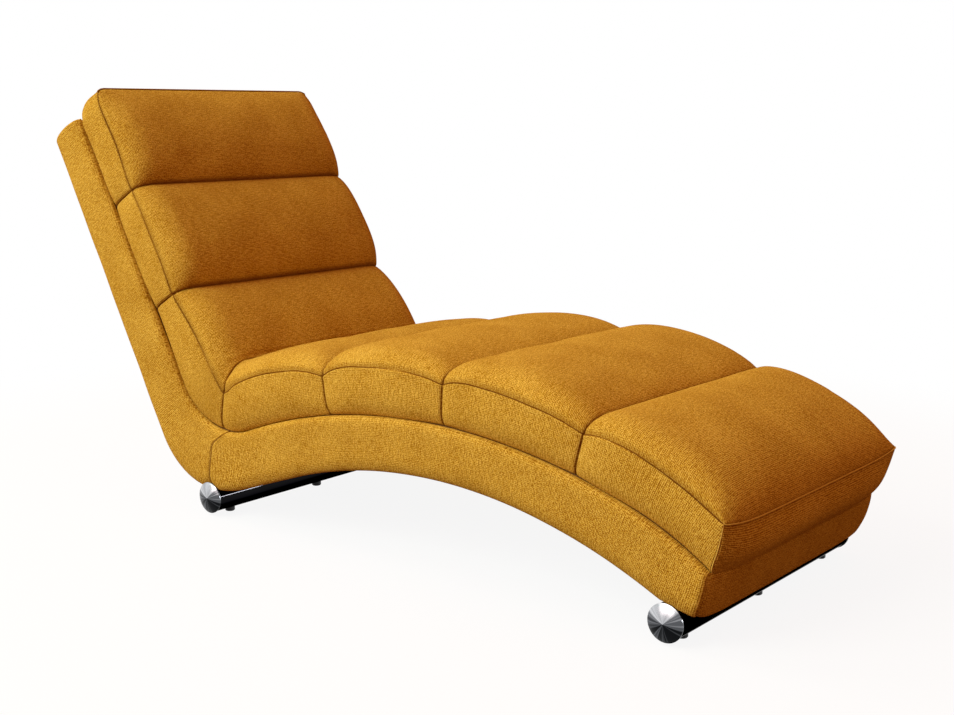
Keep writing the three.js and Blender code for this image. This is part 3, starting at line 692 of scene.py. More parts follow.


# %% [markdown]
# ## Sew it
# Stitches pull the cover down into a narrow groove between two soft lips, and next to a channel it
# gathers into small puckers. A texture could only paint that, so each point of the net is moved a
# little along its normal, by its distance from the seams that show. The same distances give the shade
# painted into each crease and channel. One round of subdivision then takes away the facets of the net.

# %% Grooves, creases and smoothing
# The shade painted into each crease, as its depth and its width in metres.
SIDE_CREASE, CHANNEL_CREASE = (0.35, 0.0012), (0.55, 0.0030)
END_CREASE, CORNER_CREASE = (0.45, 0.0036), (0.50, 0.0024)
GROOVE_DEPTH, GROOVE_WIDTH = 0.0016, 0.0012
LIP_AT, LIP_WIDTH = 0.0036, 0.0020


def seam_relief(distance, lip=0.0006):
    """How proud the cover stands near a seam: a narrow groove between two soft lips."""
    groove = -GROOVE_DEPTH * np.exp(-((distance / GROOVE_WIDTH) ** 2))
    return groove + lip * np.exp(-(((distance - LIP_AT) / LIP_WIDTH) ** 2))


def painted_seam_shade(distance, crease=SIDE_CREASE):
    """Painted shade in a crease, from its depth on the stitches to 0 beside them."""
    depth, width = crease
    return depth * np.exp(-((distance / width) ** 2))


def keep_painted_shade(piece, painted_shade):
    """Keeps each point's painted seam shade on the mesh, where the cloth's finish reads it."""
    layer = piece.data.attributes.new("seam", "FLOAT", "POINT")
    layer.data.foreach_set("value", np.asarray(painted_shade, np.float32))


def normals_of(points, faces):
    """The average of the face normals round each point."""
    corners = points[np.array(faces)]
    across = np.cross(corners[:, 2] - corners[:, 0], corners[:, 3] - corners[:, 1])
    total = np.zeros_like(points)
    for corner in range(4):
        np.add.at(total, np.array(faces)[:, corner], across)
    return total / np.maximum(np.linalg.norm(total, axis=1, keepdims=True), 1e-12)


def smoothed(piece):
    """Applies one round of subdivision, so that the net's facets don't show."""
    subdivision = piece.modifiers.new("smooth", "SUBSURF")
    subdivision.levels = subdivision.render_levels = 1
    evaluated = piece.evaluated_get(bpy.context.evaluated_depsgraph_get())
    finer = bpy.data.meshes.new_from_object(evaluated)
    piece.modifiers.remove(subdivision)
    coarse = piece.data
    piece.data = finer
    bpy.data.meshes.remove(coarse)
    for face in finer.polygons:
        face.use_smooth = True
    return piece


# %% A cushion's grid and its distances from the seams
SEAM_HEIGHT = 0.085


def cushion_cover(name):
    (start, stop), _ = CUSHIONS[name]
    us = evenly(stop - start, 0.0078, NEAR_SEAM)
    vs = 2 * evenly(2 * HALF_WIDTH, 0.0088, NEAR_SEAM) - 1
    ws = evenly(SEAM_HEIGHT, 0.0085, NEAR_SEAM)
    return box_skin(us, vs, ws)


def seam_distances(name, u, v, w):
    """Distances from the seams that show: along both sides, and round a free end."""
    (start, stop), _ = CUSHIONS[name]
    length = stop - start
    on_side, on_top, far = np.abs(v) == 1, w == 1, 1.0
    down, across = (1 - w) * SEAM_HEIGHT, (1 - np.abs(v)) * HALF_WIDTH
    seams = {"side": np.where(on_side, down, np.where(on_top, across, far))}
    for free_cushion, from_end in ((HEAD_CUSHION, u), (FOOT_CUSHION, 1 - u)):
        if name == free_cushion:
            on_end, along = from_end == 0, from_end * length
            seams["end"] = np.where(on_end, down, np.where(on_top, along, far))
            seams["corner"] = np.where(on_end, across, np.where(on_side, along, far))
    return seams


def channel_distance(name, u):
    """Distance along a cushion from the nearest sewn channel. A free end has none."""
    (start, stop), _ = CUSHIONS[name]
    head = np.where(name == HEAD_CUSHION, 1.0, u * (stop - start))
    foot = np.where(name == FOOT_CUSHION, 1.0, (1 - u) * (stop - start))
    return np.minimum(head, foot)


# %% Grooves, puckers and slow unevenness of a cushion
PUCKER_PITCH, TUCK_PITCH, FOLD_REACH = 0.021, 0.026, 0.022
FOLD_HEIGHT = 0.0006


def sewn_relief(name, u, v, w, s, points, normals):
    """How far the sewing moves each point, and each point's painted seam shade."""
    (start, stop), _ = CUSHIONS[name]
    y = points[:, 1]
    seams = seam_distances(name, u, v, w)
    on_side, on_top = np.abs(v) == 1, (w == 1) & (np.abs(v) < 1)
    on_end = (u == 0) | (u == 1)
    lip = np.where(on_side, 0.0010, 0.0005)
    relief = sum(seam_relief(distance, lip) for distance in seams.values())
    from_channel = channel_distance(name, u)
    # Painted shade along the side seams, in the channels between cushions and round a free end.
    painted_shades = [painted_seam_shade(seams["side"]), painted_seam_shade(from_channel, CHANNEL_CREASE) * (on_side | (w == 1))]
    if "end" in seams:
        painted_shades.append(painted_seam_shade(seams["end"], END_CREASE) * on_end)
        painted_shades.append(painted_seam_shade(seams["corner"], CORNER_CREASE) * on_side)
    clear = 1 - np.exp(-((seams["side"] / 0.008) ** 2))
    pucker = np.sin(2 * np.pi * y / PUCKER_PITCH + 2.0 * np.sin(y * 31.0 + 5.0 * start))
    pucker *= 0.5 + 0.5 * np.sin(y * 17.0 + 9.0 * start)
    relief = relief + FOLD_HEIGHT * pucker * on_top * np.exp(-((from_channel / FOLD_REACH) ** 2)) * clear
    tuck = np.sin(2 * np.pi * s / TUCK_PITCH + 1.7 * np.sin(s * 23.0))
    tuck *= 0.5 + 0.5 * np.sin(s * 11.0 + start)
    below_seam = np.exp(-(((1 - w) * SEAM_HEIGHT / FOLD_REACH) ** 2))
    relief = relief + FOLD_HEIGHT * tuck * on_side * below_seam * clear
    slow = np.sin(s * 29 + 2.3) + np.sin(y * 26 + s * 13) + np.sin(y * 41 - s * 19 + 1.1)
    inner = np.clip(np.minimum(u, 1 - u) * (stop - start) / 0.03, 0, 1) * (w > 0)
    relief = relief + FOLD_HEIGHT * slow * inner
    return normals * relief[:, None], np.max(painted_shades, axis=0)


# %% Keep the seams and measure the cloth
seam_lines = {}


def keep_seam_lines(name, places, points, normals):
    """Keeps the points along each seam that shows, in order, for the cords that close them."""
    u, v, w = places.T
    lines = {f"{side}_side": ((v == sign) & (w == 1), u) for side, sign in (("right", -1), ("left", 1))}
    if name == HEAD_CUSHION:
        lines["end"] = ((u == 0) & (w == 1), v)
    if name == FOOT_CUSHION:
        lines["end"] = ((u == 1) & (w == 1), v)
        lines["right_corner"] = ((u == 1) & (v == -1), w)
        lines["left_corner"] = ((u == 1) & (v == 1), w)
    for line, (on_line, order) in lines.items():
        chosen = np.flatnonzero(on_line)
        chosen = chosen[np.argsort(order[chosen])]
        seam_lines[name, line] = points[chosen], normals[chosen]


def lengths_over_top(places, points, lengths):
    """Measures the top panel's cloth over its crown, across and along, so that the weave isn't stretched."""
    u, v, w = places.T
    top = np.flatnonzero(w == 1)
    top = top[np.lexsort((v[top], u[top]))]
    rows = len(np.unique(u[top]))
    net = points[top].reshape(rows, -1, 3)
    across = np.cumsum(np.linalg.norm(np.diff(net, axis=1, prepend=net[:, :1]), axis=2), axis=1)
    across -= across[:, [net.shape[1] // 2]]
    along = np.cumsum(np.linalg.norm(np.diff(net, axis=0, prepend=net[:1]), axis=2), axis=0)
    lengths[top, 1], lengths[top, 3] = across.ravel(), lengths[top, 0].min() + along.ravel()
    return lengths


# %% Build the seven cushions
FLAT_CROWN, FLAT_PUFF = 0.86, 0.5


def stuffed(name, places, faces, target):
    """A cushion's points after its filling. The cover starts a bit too flat, with its seams pinned."""
    u, v, w = places.T
    flat = on_deck(*cushion_shape(places, name, FLAT_CROWN, FLAT_PUFF))
    trial = panel_mesh(name + "_trial", flat, faces)
    pinned = (w == 0) | ((np.abs(v) == 1) & (w == 1))
    pinned |= (u == 0) & ((w == 1) if name == HEAD_CUSHION else True)
    pinned |= (u == 1) & ((w == 1) if name == FOOT_CUSHION else True)
    points = fill_cover(trial, pinned, target)
    bpy.data.objects.remove(trial)
    print(name, "moved at most", round(float(np.linalg.norm(points - flat, axis=1).max()), 4))
    return points


def build_cushion(name):
    places, faces, panels = cushion_cover(name)
    u, v, w = places.T
    s, y, height = cushion_shape(places, name)
    target = on_deck(s, y, height)
    points = stuffed(name, places, faces, target)
    normals = normals_of(points, faces)
    keep_seam_lines(name, places, points, normals)
    relief, painted_shade = sewn_relief(name, u, v, w, s, points, normals)
    piece = panel_mesh(name, points + relief, faces)
    lengths = lengths_over_top(places, points, np.column_stack([s, y, height, s]))
    lay_cloth(piece, lengths, panels, CUSHION_SLUBS)
    keep_painted_shade(piece, painted_shade)
    piece.data.materials.append(CHENILLE)
    smoothed(piece)
    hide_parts(name)
    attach(piece, "root")
    return piece


cushions = {name: build_cushion(name) for name in CUSHIONS}
print("cushions", len(cushions))

# %% [markdown]
# ## The padded base
# The base is a plywood box with foam glued on and chenille pulled over it, so its faces are soft,
# its edges are round, and it is tighter than a cushion. The side pads are the ones that show. Their
# grid is drawn between the two side lines, square to the deck, so the cloth follows the bend. One grid
# line is led along the curved seam above the rear tube, which joins the cover of the back to that of
# the seat. The lower edge climbs over each tube, with a small gap.

# %% Where each line across the side of the base starts and ends
SIDE_SEAM_AT = 0.7949
SIDE_SEAM_REACH = 0.11
SIDE_SEAM_SHIFT = -0.057
SIDE_SEAM_BOW = [(0, 0), (0.26, -0.012), (0.54, -0.021), (0.81, -0.024), (0.92, -0.0106), (1, 0)]
FOOT_BLEND = 0.16
TUBE_CLEARANCE = 0.0012


def across_base(s):
    """For each distance along the deck, the distance along the outside that lies square below it."""
    deck_x, deck_z = deck.at(s)
    heading = np.interp(s, deck.distance, deck.heading)
    out_x, out_z = np.array(outside.x), np.array(outside.z)
    found = []
    for x, z, angle in zip(deck_x, deck_z, heading):
        ahead = (out_x - x) * math.cos(angle) + (out_z - z) * math.sin(angle)
        below = (out_z - z) * math.cos(angle) - (out_x - x) * math.sin(angle)
        crossed = np.flatnonzero((ahead[:-1] < 0) & (ahead[1:] >= 0) & (below[1:] < 0) & (below[1:] > -0.4))
        if len(crossed):
            found.append(outside.distance[crossed[-1] + 1])
        else:
            found.append(0.0 if s[0] == s[len(found)] else np.nan)
    found = np.array(found)
    known = ~np.isnan(found)
    return np.interp(s, s[known], found[known])


line_s = np.linspace(0.0, deck.length, 800)
line_o = across_base(line_s)
nearness = np.exp(-(((line_s - SIDE_SEAM_AT) / SIDE_SEAM_REACH) ** 2))
line_o = line_o + SIDE_SEAM_SHIFT * nearness
foot_reach = np.clip((line_s - (deck.length - FOOT_BLEND)) / FOOT_BLEND, 0, 1) ** 2
line_o = line_o + (outside.length - line_o[-1]) * foot_reach
line_o = np.maximum.accumulate(np.clip(line_o, 0, outside.length))
line_across = np.array(deck.at(line_s)) - np.array(outside.at(line_o))
line_tall = np.hypot(*line_across)
print("outside distance at the seam", round(float(np.interp(SIDE_SEAM_AT, line_s, line_o)), 4))


def base_side_place(s, w):
    """X and Z of a place on the side of the base: s along the deck, w from the outside up to the deck."""
    top_x, top_z = deck.at(s)
    low_x, low_z = outside.at(np.interp(s, line_s, line_o))
    bow = smooth_table(w, SIDE_SEAM_BOW) * np.exp(-(((s - SIDE_SEAM_AT) / (0.7 * SIDE_SEAM_REACH)) ** 2))
    return low_x + (top_x - low_x) * w + bow, low_z + (top_z - low_z) * w


def lowest_clear_share(s):
    """The share up from the outside at which a line across the side is clear of the tubes."""
    shares = np.linspace(0, 0.5, 201)
    lowest = np.zeros(len(s))
    for i, place in enumerate(s):
        x, z = base_side_place(np.full(201, place), shares)
        for tube in (REAR_TUBE, FRONT_TUBE):
            inside = np.hypot(x - tube.x, z - tube.z) < CAP_RADIUS + TUBE_CLEARANCE
            if inside.any():
                lowest[i] = max(lowest[i], shares[np.flatnonzero(inside)[-1]] + 0.002)
    return lowest


# %% Covers for the base
def edge_round(distance, radius):
    """How far a surface drops back where it rounds over an edge."""
    inside = np.clip(radius - distance, 0, radius)
    return radius - np.sqrt(np.maximum(radius**2 - inside**2, 0))


def soft_edge(distance, reach, depth):
    """A fuller roll over an edge, which starts further in than it drops."""
    inside = np.clip(1 - distance / reach, 0, 1)
    return depth * (1 - np.sqrt(1 - inside**2))


def uneven(points, scale, amount, seed=0.0):
    """Slow, smooth unevenness of stuffed foam, from a few crossed waves with fixed directions."""
    x, y, z = (points * (2 * np.pi / scale)).T
    wave = np.sin(1.0 * x + 1.7 * z + seed) + np.sin(-1.3 * x + 0.6 * z + 1.1 * y + 2.1 * seed)
    wave += np.sin(0.5 * x - 1.9 * z - 0.9 * y + 3.7 * seed) + np.sin(2.3 * y + 0.4 * x + 1.3 * seed)
    return amount * wave / 4


def right_way_out(points, faces):
    """Turns a closed skin's faces outwards if its volume comes out negative."""
    volume = 0.0
    for face in faces:
        a, b, c, d = points[face]
        volume += np.dot(a, np.cross(b, c)) + np.dot(a, np.cross(c, d))
    return faces if volume > 0 else [face[::-1] for face in faces]


ALONG_AND_ACROSS = {panel: (1, 0) for panel in PANELS}
ACROSS_AND_UP = {panel: (1, 2) for panel in PANELS}


def cover(name, points, faces, panels, cloth_lengths, slubs, painted_shade=0.0):
    """Makes a closed cover into the piece that stands for the node of its name."""
    faces = right_way_out(points, faces)
    piece = panel_mesh(name, points, faces)
    lay_cloth(piece, cloth_lengths, panels, slubs)
    # The painted seam shade, 0 unless one is given.
    keep_painted_shade(piece, np.broadcast_to(painted_shade, len(points)))
    for face in piece.data.polygons:
        face.use_smooth = True
    piece.data.materials.append(CHENILLE)
    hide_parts(name)
    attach(piece, "root")
    return piece


# %% The two side pads
SIDE_GRID_HEIGHT = 0.15
SIDE_MITRE, SIDE_THICKNESS = 0.0130, 0.0140
SIDE_TOP_ROUND, SIDE_HEAD_ROUND, SIDE_FOOT_ROUND, SIDE_LOW_CORNER = 0.010, 0.005, 0.009, 0.006
LOW_ROLL_REACH, SIDE_LOW_ROLL = 0.030, 0.0115
SIDE_BELLY = 0.0030
END_PUFF_REACH, HEAD_END_PUFF, FOOT_END_PUFF, LOW_EDGE_PUFF = 0.02, 0.0055, 0.0050, 0.0022


def side_pad_grid():
    """The grid of a side pad, with lines close together beside its curved seam."""
    us = evenly(deck.length, 0.010, NEAR_PAD_EDGE)
    beside = np.array([-0.007, -0.0035, -0.0015, 0, 0.0015, 0.0035, 0.007])
    near_seam = (SIDE_SEAM_AT + beside) / deck.length
    us = us[(us < near_seam[0] - 0.002) | (us > near_seam[-1] + 0.002)]
    us = np.sort(np.concatenate([us, near_seam]))
    vs = np.array([-1.0, -0.4, 0.2, 0.6, 0.85, 1.0])
    return us, vs, evenly(SIDE_GRID_HEIGHT, 0.010, NEAR_PAD_EDGE)


def build_side_pad(name, side):
    length = deck.length
    us, vs, ws = side_pad_grid()
    places, faces, panels = box_skin(us, vs, ws)
    u, v, w = places.T
    outward = (v + 1) / 2
    mitre = SIDE_MITRE * (1 - v) / 2
    s = np.minimum(u * length, length - 0.0008 - mitre)
    from_foot, up = round_corner(length - s, w * SIDE_GRID_HEIGHT, SIDE_LOW_CORNER)
    s = length - from_foot
    lowest = np.interp(s, us * length, lowest_clear_share(us * length))
    share = lowest + (1 - lowest) * up / SIDE_GRID_HEIGHT
    x, z = base_side_place(s, share)
    tall = np.interp(s, line_s, line_tall)
    drop = edge_round((1 - w) * tall, SIDE_TOP_ROUND) + soft_edge(w * tall, LOW_ROLL_REACH, SIDE_LOW_ROLL)
    drop += edge_round(s, SIDE_HEAD_ROUND) + edge_round(length - s, SIDE_FOOT_ROUND)
    belly = SIDE_BELLY * (1 - np.abs(2 * w - 1) ** 3)
    belly += seam_relief(np.abs(s - SIDE_SEAM_AT)) * 1.2
    fullness = np.sin(np.pi * np.clip(share, 0, 1)) * outward
    heading = np.interp(s, deck.distance, deck.heading)
    low_heading = np.interp(np.interp(s, line_s, line_o), outside.distance, outside.heading)
    head_puff = -HEAD_END_PUFF * fullness * np.exp(-((s / END_PUFF_REACH) ** 2))
    foot_puff = FOOT_END_PUFF * fullness * np.exp(-(((length - s) / END_PUFF_REACH) ** 2))
    low_puff = LOW_EDGE_PUFF * np.exp(-((w * tall / LOW_ROLL_REACH) ** 2)) * outward
    x = x + (head_puff + foot_puff) * np.cos(heading) + low_puff * np.sin(low_heading)
    z = z + (head_puff + foot_puff) * np.sin(heading) - low_puff * np.cos(low_heading)
    inner = HALF_WIDTH - SIDE_THICKNESS
    depth = inner + (np.maximum(HALF_WIDTH + belly - drop, inner + 0.002) - inner) * (v + 1) / 2
    points = np.column_stack([x, side * depth, z])
    wave = uneven(points, 0.23, 0.0012, seed=1.3 + side)
    points[:, 1] += side * wave * (v + 1) / 2 * np.clip((HALF_WIDTH + 0.001 - drop - inner) / 0.014, 0, 1)
    from_seam = np.abs(s - SIDE_SEAM_AT)
    on_seam = np.flatnonzero((from_seam < 1e-6) & (v == 1))
    on_seam = on_seam[np.argsort(w[on_seam])]
    seam_lines[name, "bend"] = points[on_seam], np.tile([0.0, side, 0.0], (len(on_seam), 1))
    lengths = np.column_stack([s, depth, w * tall])
    slubs = {**CUSHION_SLUBS, "top": (1, 0)}
    # Painted shade along the curved seam on the outer face.
    return cover(name, points, faces, panels, lengths, slubs, painted_shade=painted_seam_shade(from_seam) * (v == 1))


# %% The pads over the ends and the rear
END_PAD_THICKNESS, END_PAD_INSET, END_TOP_ROUND = 0.0118, 0.0144, 0.009
REAR_PAD_THICKNESS, REAR_PAD_INSET, REAR_PAD_SWELL = 0.0120, 0.0143, 0.0045


def flat_line(from_xz, to_xz):
    """A straight line in the side view, as a function of a share along it."""
    (x0, z0), (x1, z1) = from_xz, to_xz
    return lambda t: (x0 + (x1 - x0) * t, z0 + (z1 - z0) * t)


def build_end_pad(name, low, high, out, bulge, corner, low_round, mitre=0.0, low_roll=0.0, corner_lift=0.0):
    """A pad over one end of the base, between the low and the high corner of its outer face."""
    half = HALF_WIDTH - END_PAD_INSET
    tall = float(np.hypot(high[0] - low[0], high[1] - low[1]))
    us = np.array([0, 0.3, 0.7, 1.0])
    vs = 2 * evenly(2 * HALF_WIDTH, 0.010, NEAR_PAD_EDGE) - 1
    ws = evenly(tall, 0.008, NEAR_PAD_EDGE)
    places, faces, panels = box_skin(us, vs, ws)
    u, v, w = places.T
    wide = half + mitre * (1 - u) - soft_edge(w * tall, LOW_ROLL_REACH, low_roll)
    y = v * wide
    from_side = (1 - np.abs(v)) * wide
    lifted = corner_lift * np.clip(1 - from_side / 0.035, 0, 1) ** 2 / tall
    face_x, face_z = flat_line(low, high)(w + lifted * (1 - w) ** 2)
    drop = edge_round(from_side, corner) + edge_round(w * tall, low_round)
    drop = drop + edge_round((1 - w) * tall, END_TOP_ROUND)
    middle_share = 1 - np.abs(v) ** 8
    swell = bulge * middle_share * (0.85 + 0.15 * np.sin(np.pi * w))
    swell = swell + 0.005 * np.sin(np.pi * w) * (1 - middle_share)
    stand = np.maximum(swell - drop, -END_PAD_THICKNESS + 0.001)
    depth = stand + (-END_PAD_THICKNESS - stand) * u
    points = np.column_stack([face_x + out[0] * depth, y, face_z + out[1] * depth])
    points[:, 0] += out[0] * uneven(points, 0.19, 0.0010, seed=2.7) * (1 - u) * (1 - np.abs(v) ** 10)
    lengths = np.column_stack([u * 0.012, y, w * tall])
    return cover(name, points, faces, panels, lengths, ACROSS_AND_UP)


def outside_past(x):
    """The distance along the outside line at which it first passes an X."""
    return outside.distance[int(np.flatnonzero(np.array(outside.x) > x)[0])]


def build_rear_pad():
    stop = outside_past(REAR_TUBE.x - TUBE_RADIUS - 0.003)
    half = HALF_WIDTH - REAR_PAD_INSET
    us = evenly(stop, 0.011, NEAR_PAD_EDGE)
    vs = 2 * evenly(2 * half, 0.011, NEAR_PAD_EDGE) - 1
    ws = np.array([0, 0.35, 0.7, 1.0])
    places, faces, panels = box_skin(us, vs, ws)
    u, v, w = places.T
    s, y = u * stop, v * half
    from_side = (1 - np.abs(v)) * half
    drop = edge_round(from_side, 0.004) + edge_round(s, 0.009) + edge_round(stop - s, 0.006)
    swell = REAR_PAD_SWELL * (1 - np.abs(v) ** 6) * np.sin(np.pi * np.clip(u, 0, 1)) ** 0.35
    offset = (drop - swell) + (REAR_PAD_THICKNESS - (drop - swell)) * w
    x, z = outside.at(s, offset)
    points = np.column_stack([x, y, z])
    wave = uneven(points, 0.31, 0.0012, seed=4.1)
    points[:, 0] -= wave * (1 - w) * (1 - np.abs(v) ** 6) * (1 - np.abs(2 * u - 1) ** 8)
    lengths = np.column_stack([s, y, w * REAR_PAD_THICKNESS])
    return cover("rear_pad", points, faces, panels, lengths, ALONG_AND_ACROSS)


# %% Cover the base
foot_top = np.array(deck.at(deck.length))
foot_low = np.array(outside.at(outside.length))
foot_run = (foot_low - foot_top) / np.linalg.norm(foot_low - foot_top)
foot_out = np.array([-foot_run[1], foot_run[0]])
head_top = np.array(deck.at(0.0))
head_low = np.array(deck.at(0.0, -HEAD_THICKNESS + 0.0123))
head_run = (head_low - head_top) / np.linalg.norm(head_low - head_top)
head_out = np.array([head_run[1], -head_run[0]])

base_pads = {
    "side_pad_left": build_side_pad("side_pad_left", 1),
    "side_pad_right": build_side_pad("side_pad_right", -1),
    "rear_pad": build_rear_pad(),
    "foot_end_pad": build_end_pad(
        "foot_end_pad",
        foot_low + 0.008 * foot_run,
        foot_top,
        foot_out,
        bulge=0.0130,
        corner=0.012,
        low_round=0.009,
        mitre=0.0135,
        low_roll=0.0095,
        corner_lift=0.010,
    ),
    "head_end_pad": build_end_pad(
        "head_end_pad", head_low, head_top, head_out, bulge=0.0045, corner=0.004, low_round=0.004
    ),
}
print("base pads", {name: len(pad.data.vertices) for name, pad in base_pads.items()})

# %% [markdown]
# ## Cords in the seams
# Where two panels meet, the cloth is folded round a thin cord and stitched through, so a real seam
# reads as one fine, even line. At the foot the cord is thicker and stands proud, and a highlight is
# painted on it. Grooves in the net alone break up into dots at this size. So each seam's points become
# a path, and one Geometry Nodes tree walks a small circle along all of them. It stores the cloth's
# metres as it goes, and the shade painted on the cord, which at the foot is a painted highlight.

# %% A Geometry Nodes tree and how it is run
def geometry_tree(title, inputs):
    """A new tree with named inputs. Gives the group, its tree and the wires of its inputs."""
    group = bpy.data.node_groups.new(title, "GeometryNodeTree")
    group.interface.new_socket("Geometry", in_out="OUTPUT", socket_type="NodeSocketGeometry")
    group.interface.new_socket("Geometry", in_out="INPUT", socket_type="NodeSocketGeometry")
    for name, kind in inputs.items():
        group.interface.new_socket(name, in_out="INPUT", socket_type="NodeSocket" + kind)
    tree = NodeTree(group)
    entry = tree.add("NodeGroupInput")
    return group, tree, {name: tree.output_of(entry, name) for name in ("Geometry", *inputs)}


def grow(name, points, edges, group, sizes):
    """Runs a tree on a line of points and keeps what it makes as a plain mesh."""
    line = bpy.data.meshes.new(name)
    line.from_pydata([tuple(point) for point in points], edges, [])
    piece = bpy.data.objects.new(name, line)
    bpy.context.scene.collection.objects.link(piece)
    modifier = piece.modifiers.new("grow", "NODES")
    modifier.node_group = group
    for item in group.interface.items_tree:
        if item.name in sizes:
            modifier[item.identifier] = sizes[item.name]
    evaluated = piece.evaluated_get(bpy.context.evaluated_depsgraph_get())
    grown = bpy.data.meshes.new_from_object(evaluated)
    piece.modifiers.remove(modifier)
    piece.data = grown
    bpy.data.meshes.remove(line)
    return piece


# %% The tree that walks a cord along a seam
def cord_tree():
    group, tree, given = geometry_tree(
        "seam_cord", {"Thickness": "Float", "Spacing": "Float", "Painted_Shade": "Float", "Cloth": "Material"}
    )

    def kept(geometry, name, value, data_type="FLOAT", domain="POINT"):
        settings = {"data_type": data_type, "domain": domain}
        sockets = {"Geometry": geometry, "Name": name, "Value": value}
        return tree.add("GeometryNodeStoreNamedAttribute", settings, sockets)

    def stored(name):
        return tree.add("GeometryNodeInputNamedAttribute", {"data_type": "FLOAT"}, {"Name": name})

    def walked():
        return tree.add("GeometryNodeSplineParameter", output="Length")

    path = tree.add("GeometryNodeMeshToCurve", None, {"Mesh": given["Geometry"]})
    steps = {"Curve": path, "Length": given["Spacing"]}
    path = tree.add("GeometryNodeResampleCurve", {"mode": "LENGTH"}, steps)
    circle = {"Resolution": 8, "Radius": given["Thickness"] * 0.5}
    ring = tree.add("GeometryNodeCurvePrimitiveCircle", {"mode": "RADIUS"}, circle)
    path, ring = kept(path, "along", walked()), kept(ring, "around", walked())
    sweep = {"Curve": path, "Profile Curve": ring, "Fill Caps": True}
    cord = tree.add("GeometryNodeCurveToMesh", None, sweep)
    flat = tree.add("ShaderNodeCombineXYZ", None, {"X": stored("along"), "Y": stored("around")})
    cord = kept(cord, "UVMap", flat, "FLOAT2", "CORNER")
    # The shade painted on the cord, and below 0 a painted highlight.
    cord = kept(cord, "seam", given["Painted_Shade"])
    cord = tree.add("GeometryNodeSetShadeSmooth", None, {"Geometry": cord})
    cord = tree.add("GeometryNodeRealizeInstances", None, {"Geometry": cord})
    cord = tree.add("GeometryNodeSetMaterial", None, {"Geometry": cord, "Material": given["Cloth"]})
    tree.add("NodeGroupOutput", None, {"Geometry": cord})
    return group


# %% Close every seam with its cord
# Each cord's third value is the shade painted on it; below 0, as at the foot, it is a painted highlight.
SEAM_CORD = {"Thickness": 0.0018, "Spacing": 0.004, "Painted_Shade": 0.85}
HEAD_CORD = {"Thickness": 0.0030, "Spacing": 0.004, "Painted_Shade": 0.40}
FOOT_CORD = {"Thickness": 0.0024, "Spacing": 0.004, "Painted_Shade": -0.6}
CORD_RISE = {"side": -0.0005, "end": 0.0005, "corner": 0.0005, "bend": 0.0009}
cord_group = cord_tree()


def close_seam(name, line, points, normals):
    kind = line.split("_")[-1]
    sizes = {**SEAM_CORD, "Painted_Shade": 0.6} if name.startswith("back") else dict(SEAM_CORD)
    if kind in ("end", "corner"):
        sizes = dict(HEAD_CORD if name.startswith("back") else FOOT_CORD)
    path = points + CORD_RISE[kind] * normals
    edges = [(i, i + 1) for i in range(len(path) - 1)]
    piece = grow(f"{name}_{line}_cord", path, edges, cord_group, {**sizes, "Cloth": CHENILLE})
    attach(piece, "root")
    return piece


seam_cords = [close_seam(name, line, *found) for (name, line), found in seam_lines.items()]
print("seam cords", len(seam_cords), "with", sum(len(cord.data.polygons) for cord in seam_cords), "faces")

# %% [markdown]
# ## Inside the base
# Under the cushions lies a thin deck pad, and under that woven straps are stretched from side to side.
# Below the arch a black dust cloth closes the box. Little of this shows, but the parts are there, so
# each gets its own small shape and its own cloth. All of them are flat strips that follow one of the two
# side lines, so one function lays them.

# %% Three plain cloths
def plain_cloth(name, body, deep, threads):
    material, tree, shader = new_finish(name, {"Roughness": 0.9, "Specular IOR Level": 0.25})
    uv = tree.uv_map()
    warp, weft = tree.bands("X", uv, threads, 0.4), tree.bands("Y", uv, threads, 0.4)
    height = weft * warp
    colour = tree.blend(height * 0.6 + tree.noise(uv, 60.0, 3.0) * 0.5, (0.1, deep), (0.9, body))
    feed(tree, shader, Base_Color=colour, Normal=tree.bump(height, 0.5, 0.0006))
    return material


LINING = plain_cloth("deck_lining", (150, 108, 52), (96, 64, 26), 260.0)
DUST_CLOTH = plain_cloth("dust_cloth", (38, 38, 41), (14, 14, 16), 420.0)
WEBBING = plain_cloth("webbing", (88, 90, 94), (40, 42, 45), 160.0)


# %% A strip laid along a side line
def lay_strip(name, slot, material, line, start, stop, offset, thickness, half, step, edge):
    """A flat closed strip between two places on a line, as the piece that stands for a node."""
    us = evenly(stop - start, step, (0.0, edge))
    vs = 2 * evenly(2 * half, 2 * half / 9, (0.0, edge)) - 1
    ws = np.array([0.0, 0.5, 1.0])
    places, faces, panels = box_skin(us, vs, ws)
    u, v, w = places.T
    s, y = start + u * (stop - start), v * half
    inner = edge * (1 - np.sqrt(np.clip(1 - (2 * w - 1) ** 2, 0, 1))) * 0.5
    s = s + np.where(u == 0, inner, 0) - np.where(u == 1, inner, 0)
    y = y - np.sign(v) * np.where(np.abs(v) == 1, inner, 0)
    x, z = line.at(s, offset + (w - 1) * thickness)
    points = np.column_stack([x, y, z])
    piece = panel_mesh(name, points, right_way_out(points, faces))
    lay_cloth(piece, np.column_stack([s, y, w * thickness]), panels, ALONG_AND_ACROSS)
    piece.data.materials.append(material)
    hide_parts(name)
    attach(piece, "root")
    return piece


# %% Deck pad, straps and dust cloth
INSIDE_HALF = HALF_WIDTH - 0.0145
DECK_PAD = {"offset": -0.0002, "thickness": 0.0146, "half": INSIDE_HALF, "step": 0.02, "edge": 0.004}
STRAP_WIDTH, STRAP_DEPTH = 0.060, 0.0153
STRAP = {"offset": -STRAP_DEPTH - 0.0002, "thickness": 0.0022, "half": 0.2934, "step": 0.012, "edge": 0.001}
DUST_COVER = {"offset": 0.0108, "thickness": 0.0010, "half": INSIDE_HALF, "step": 0.02, "edge": 0.0008}

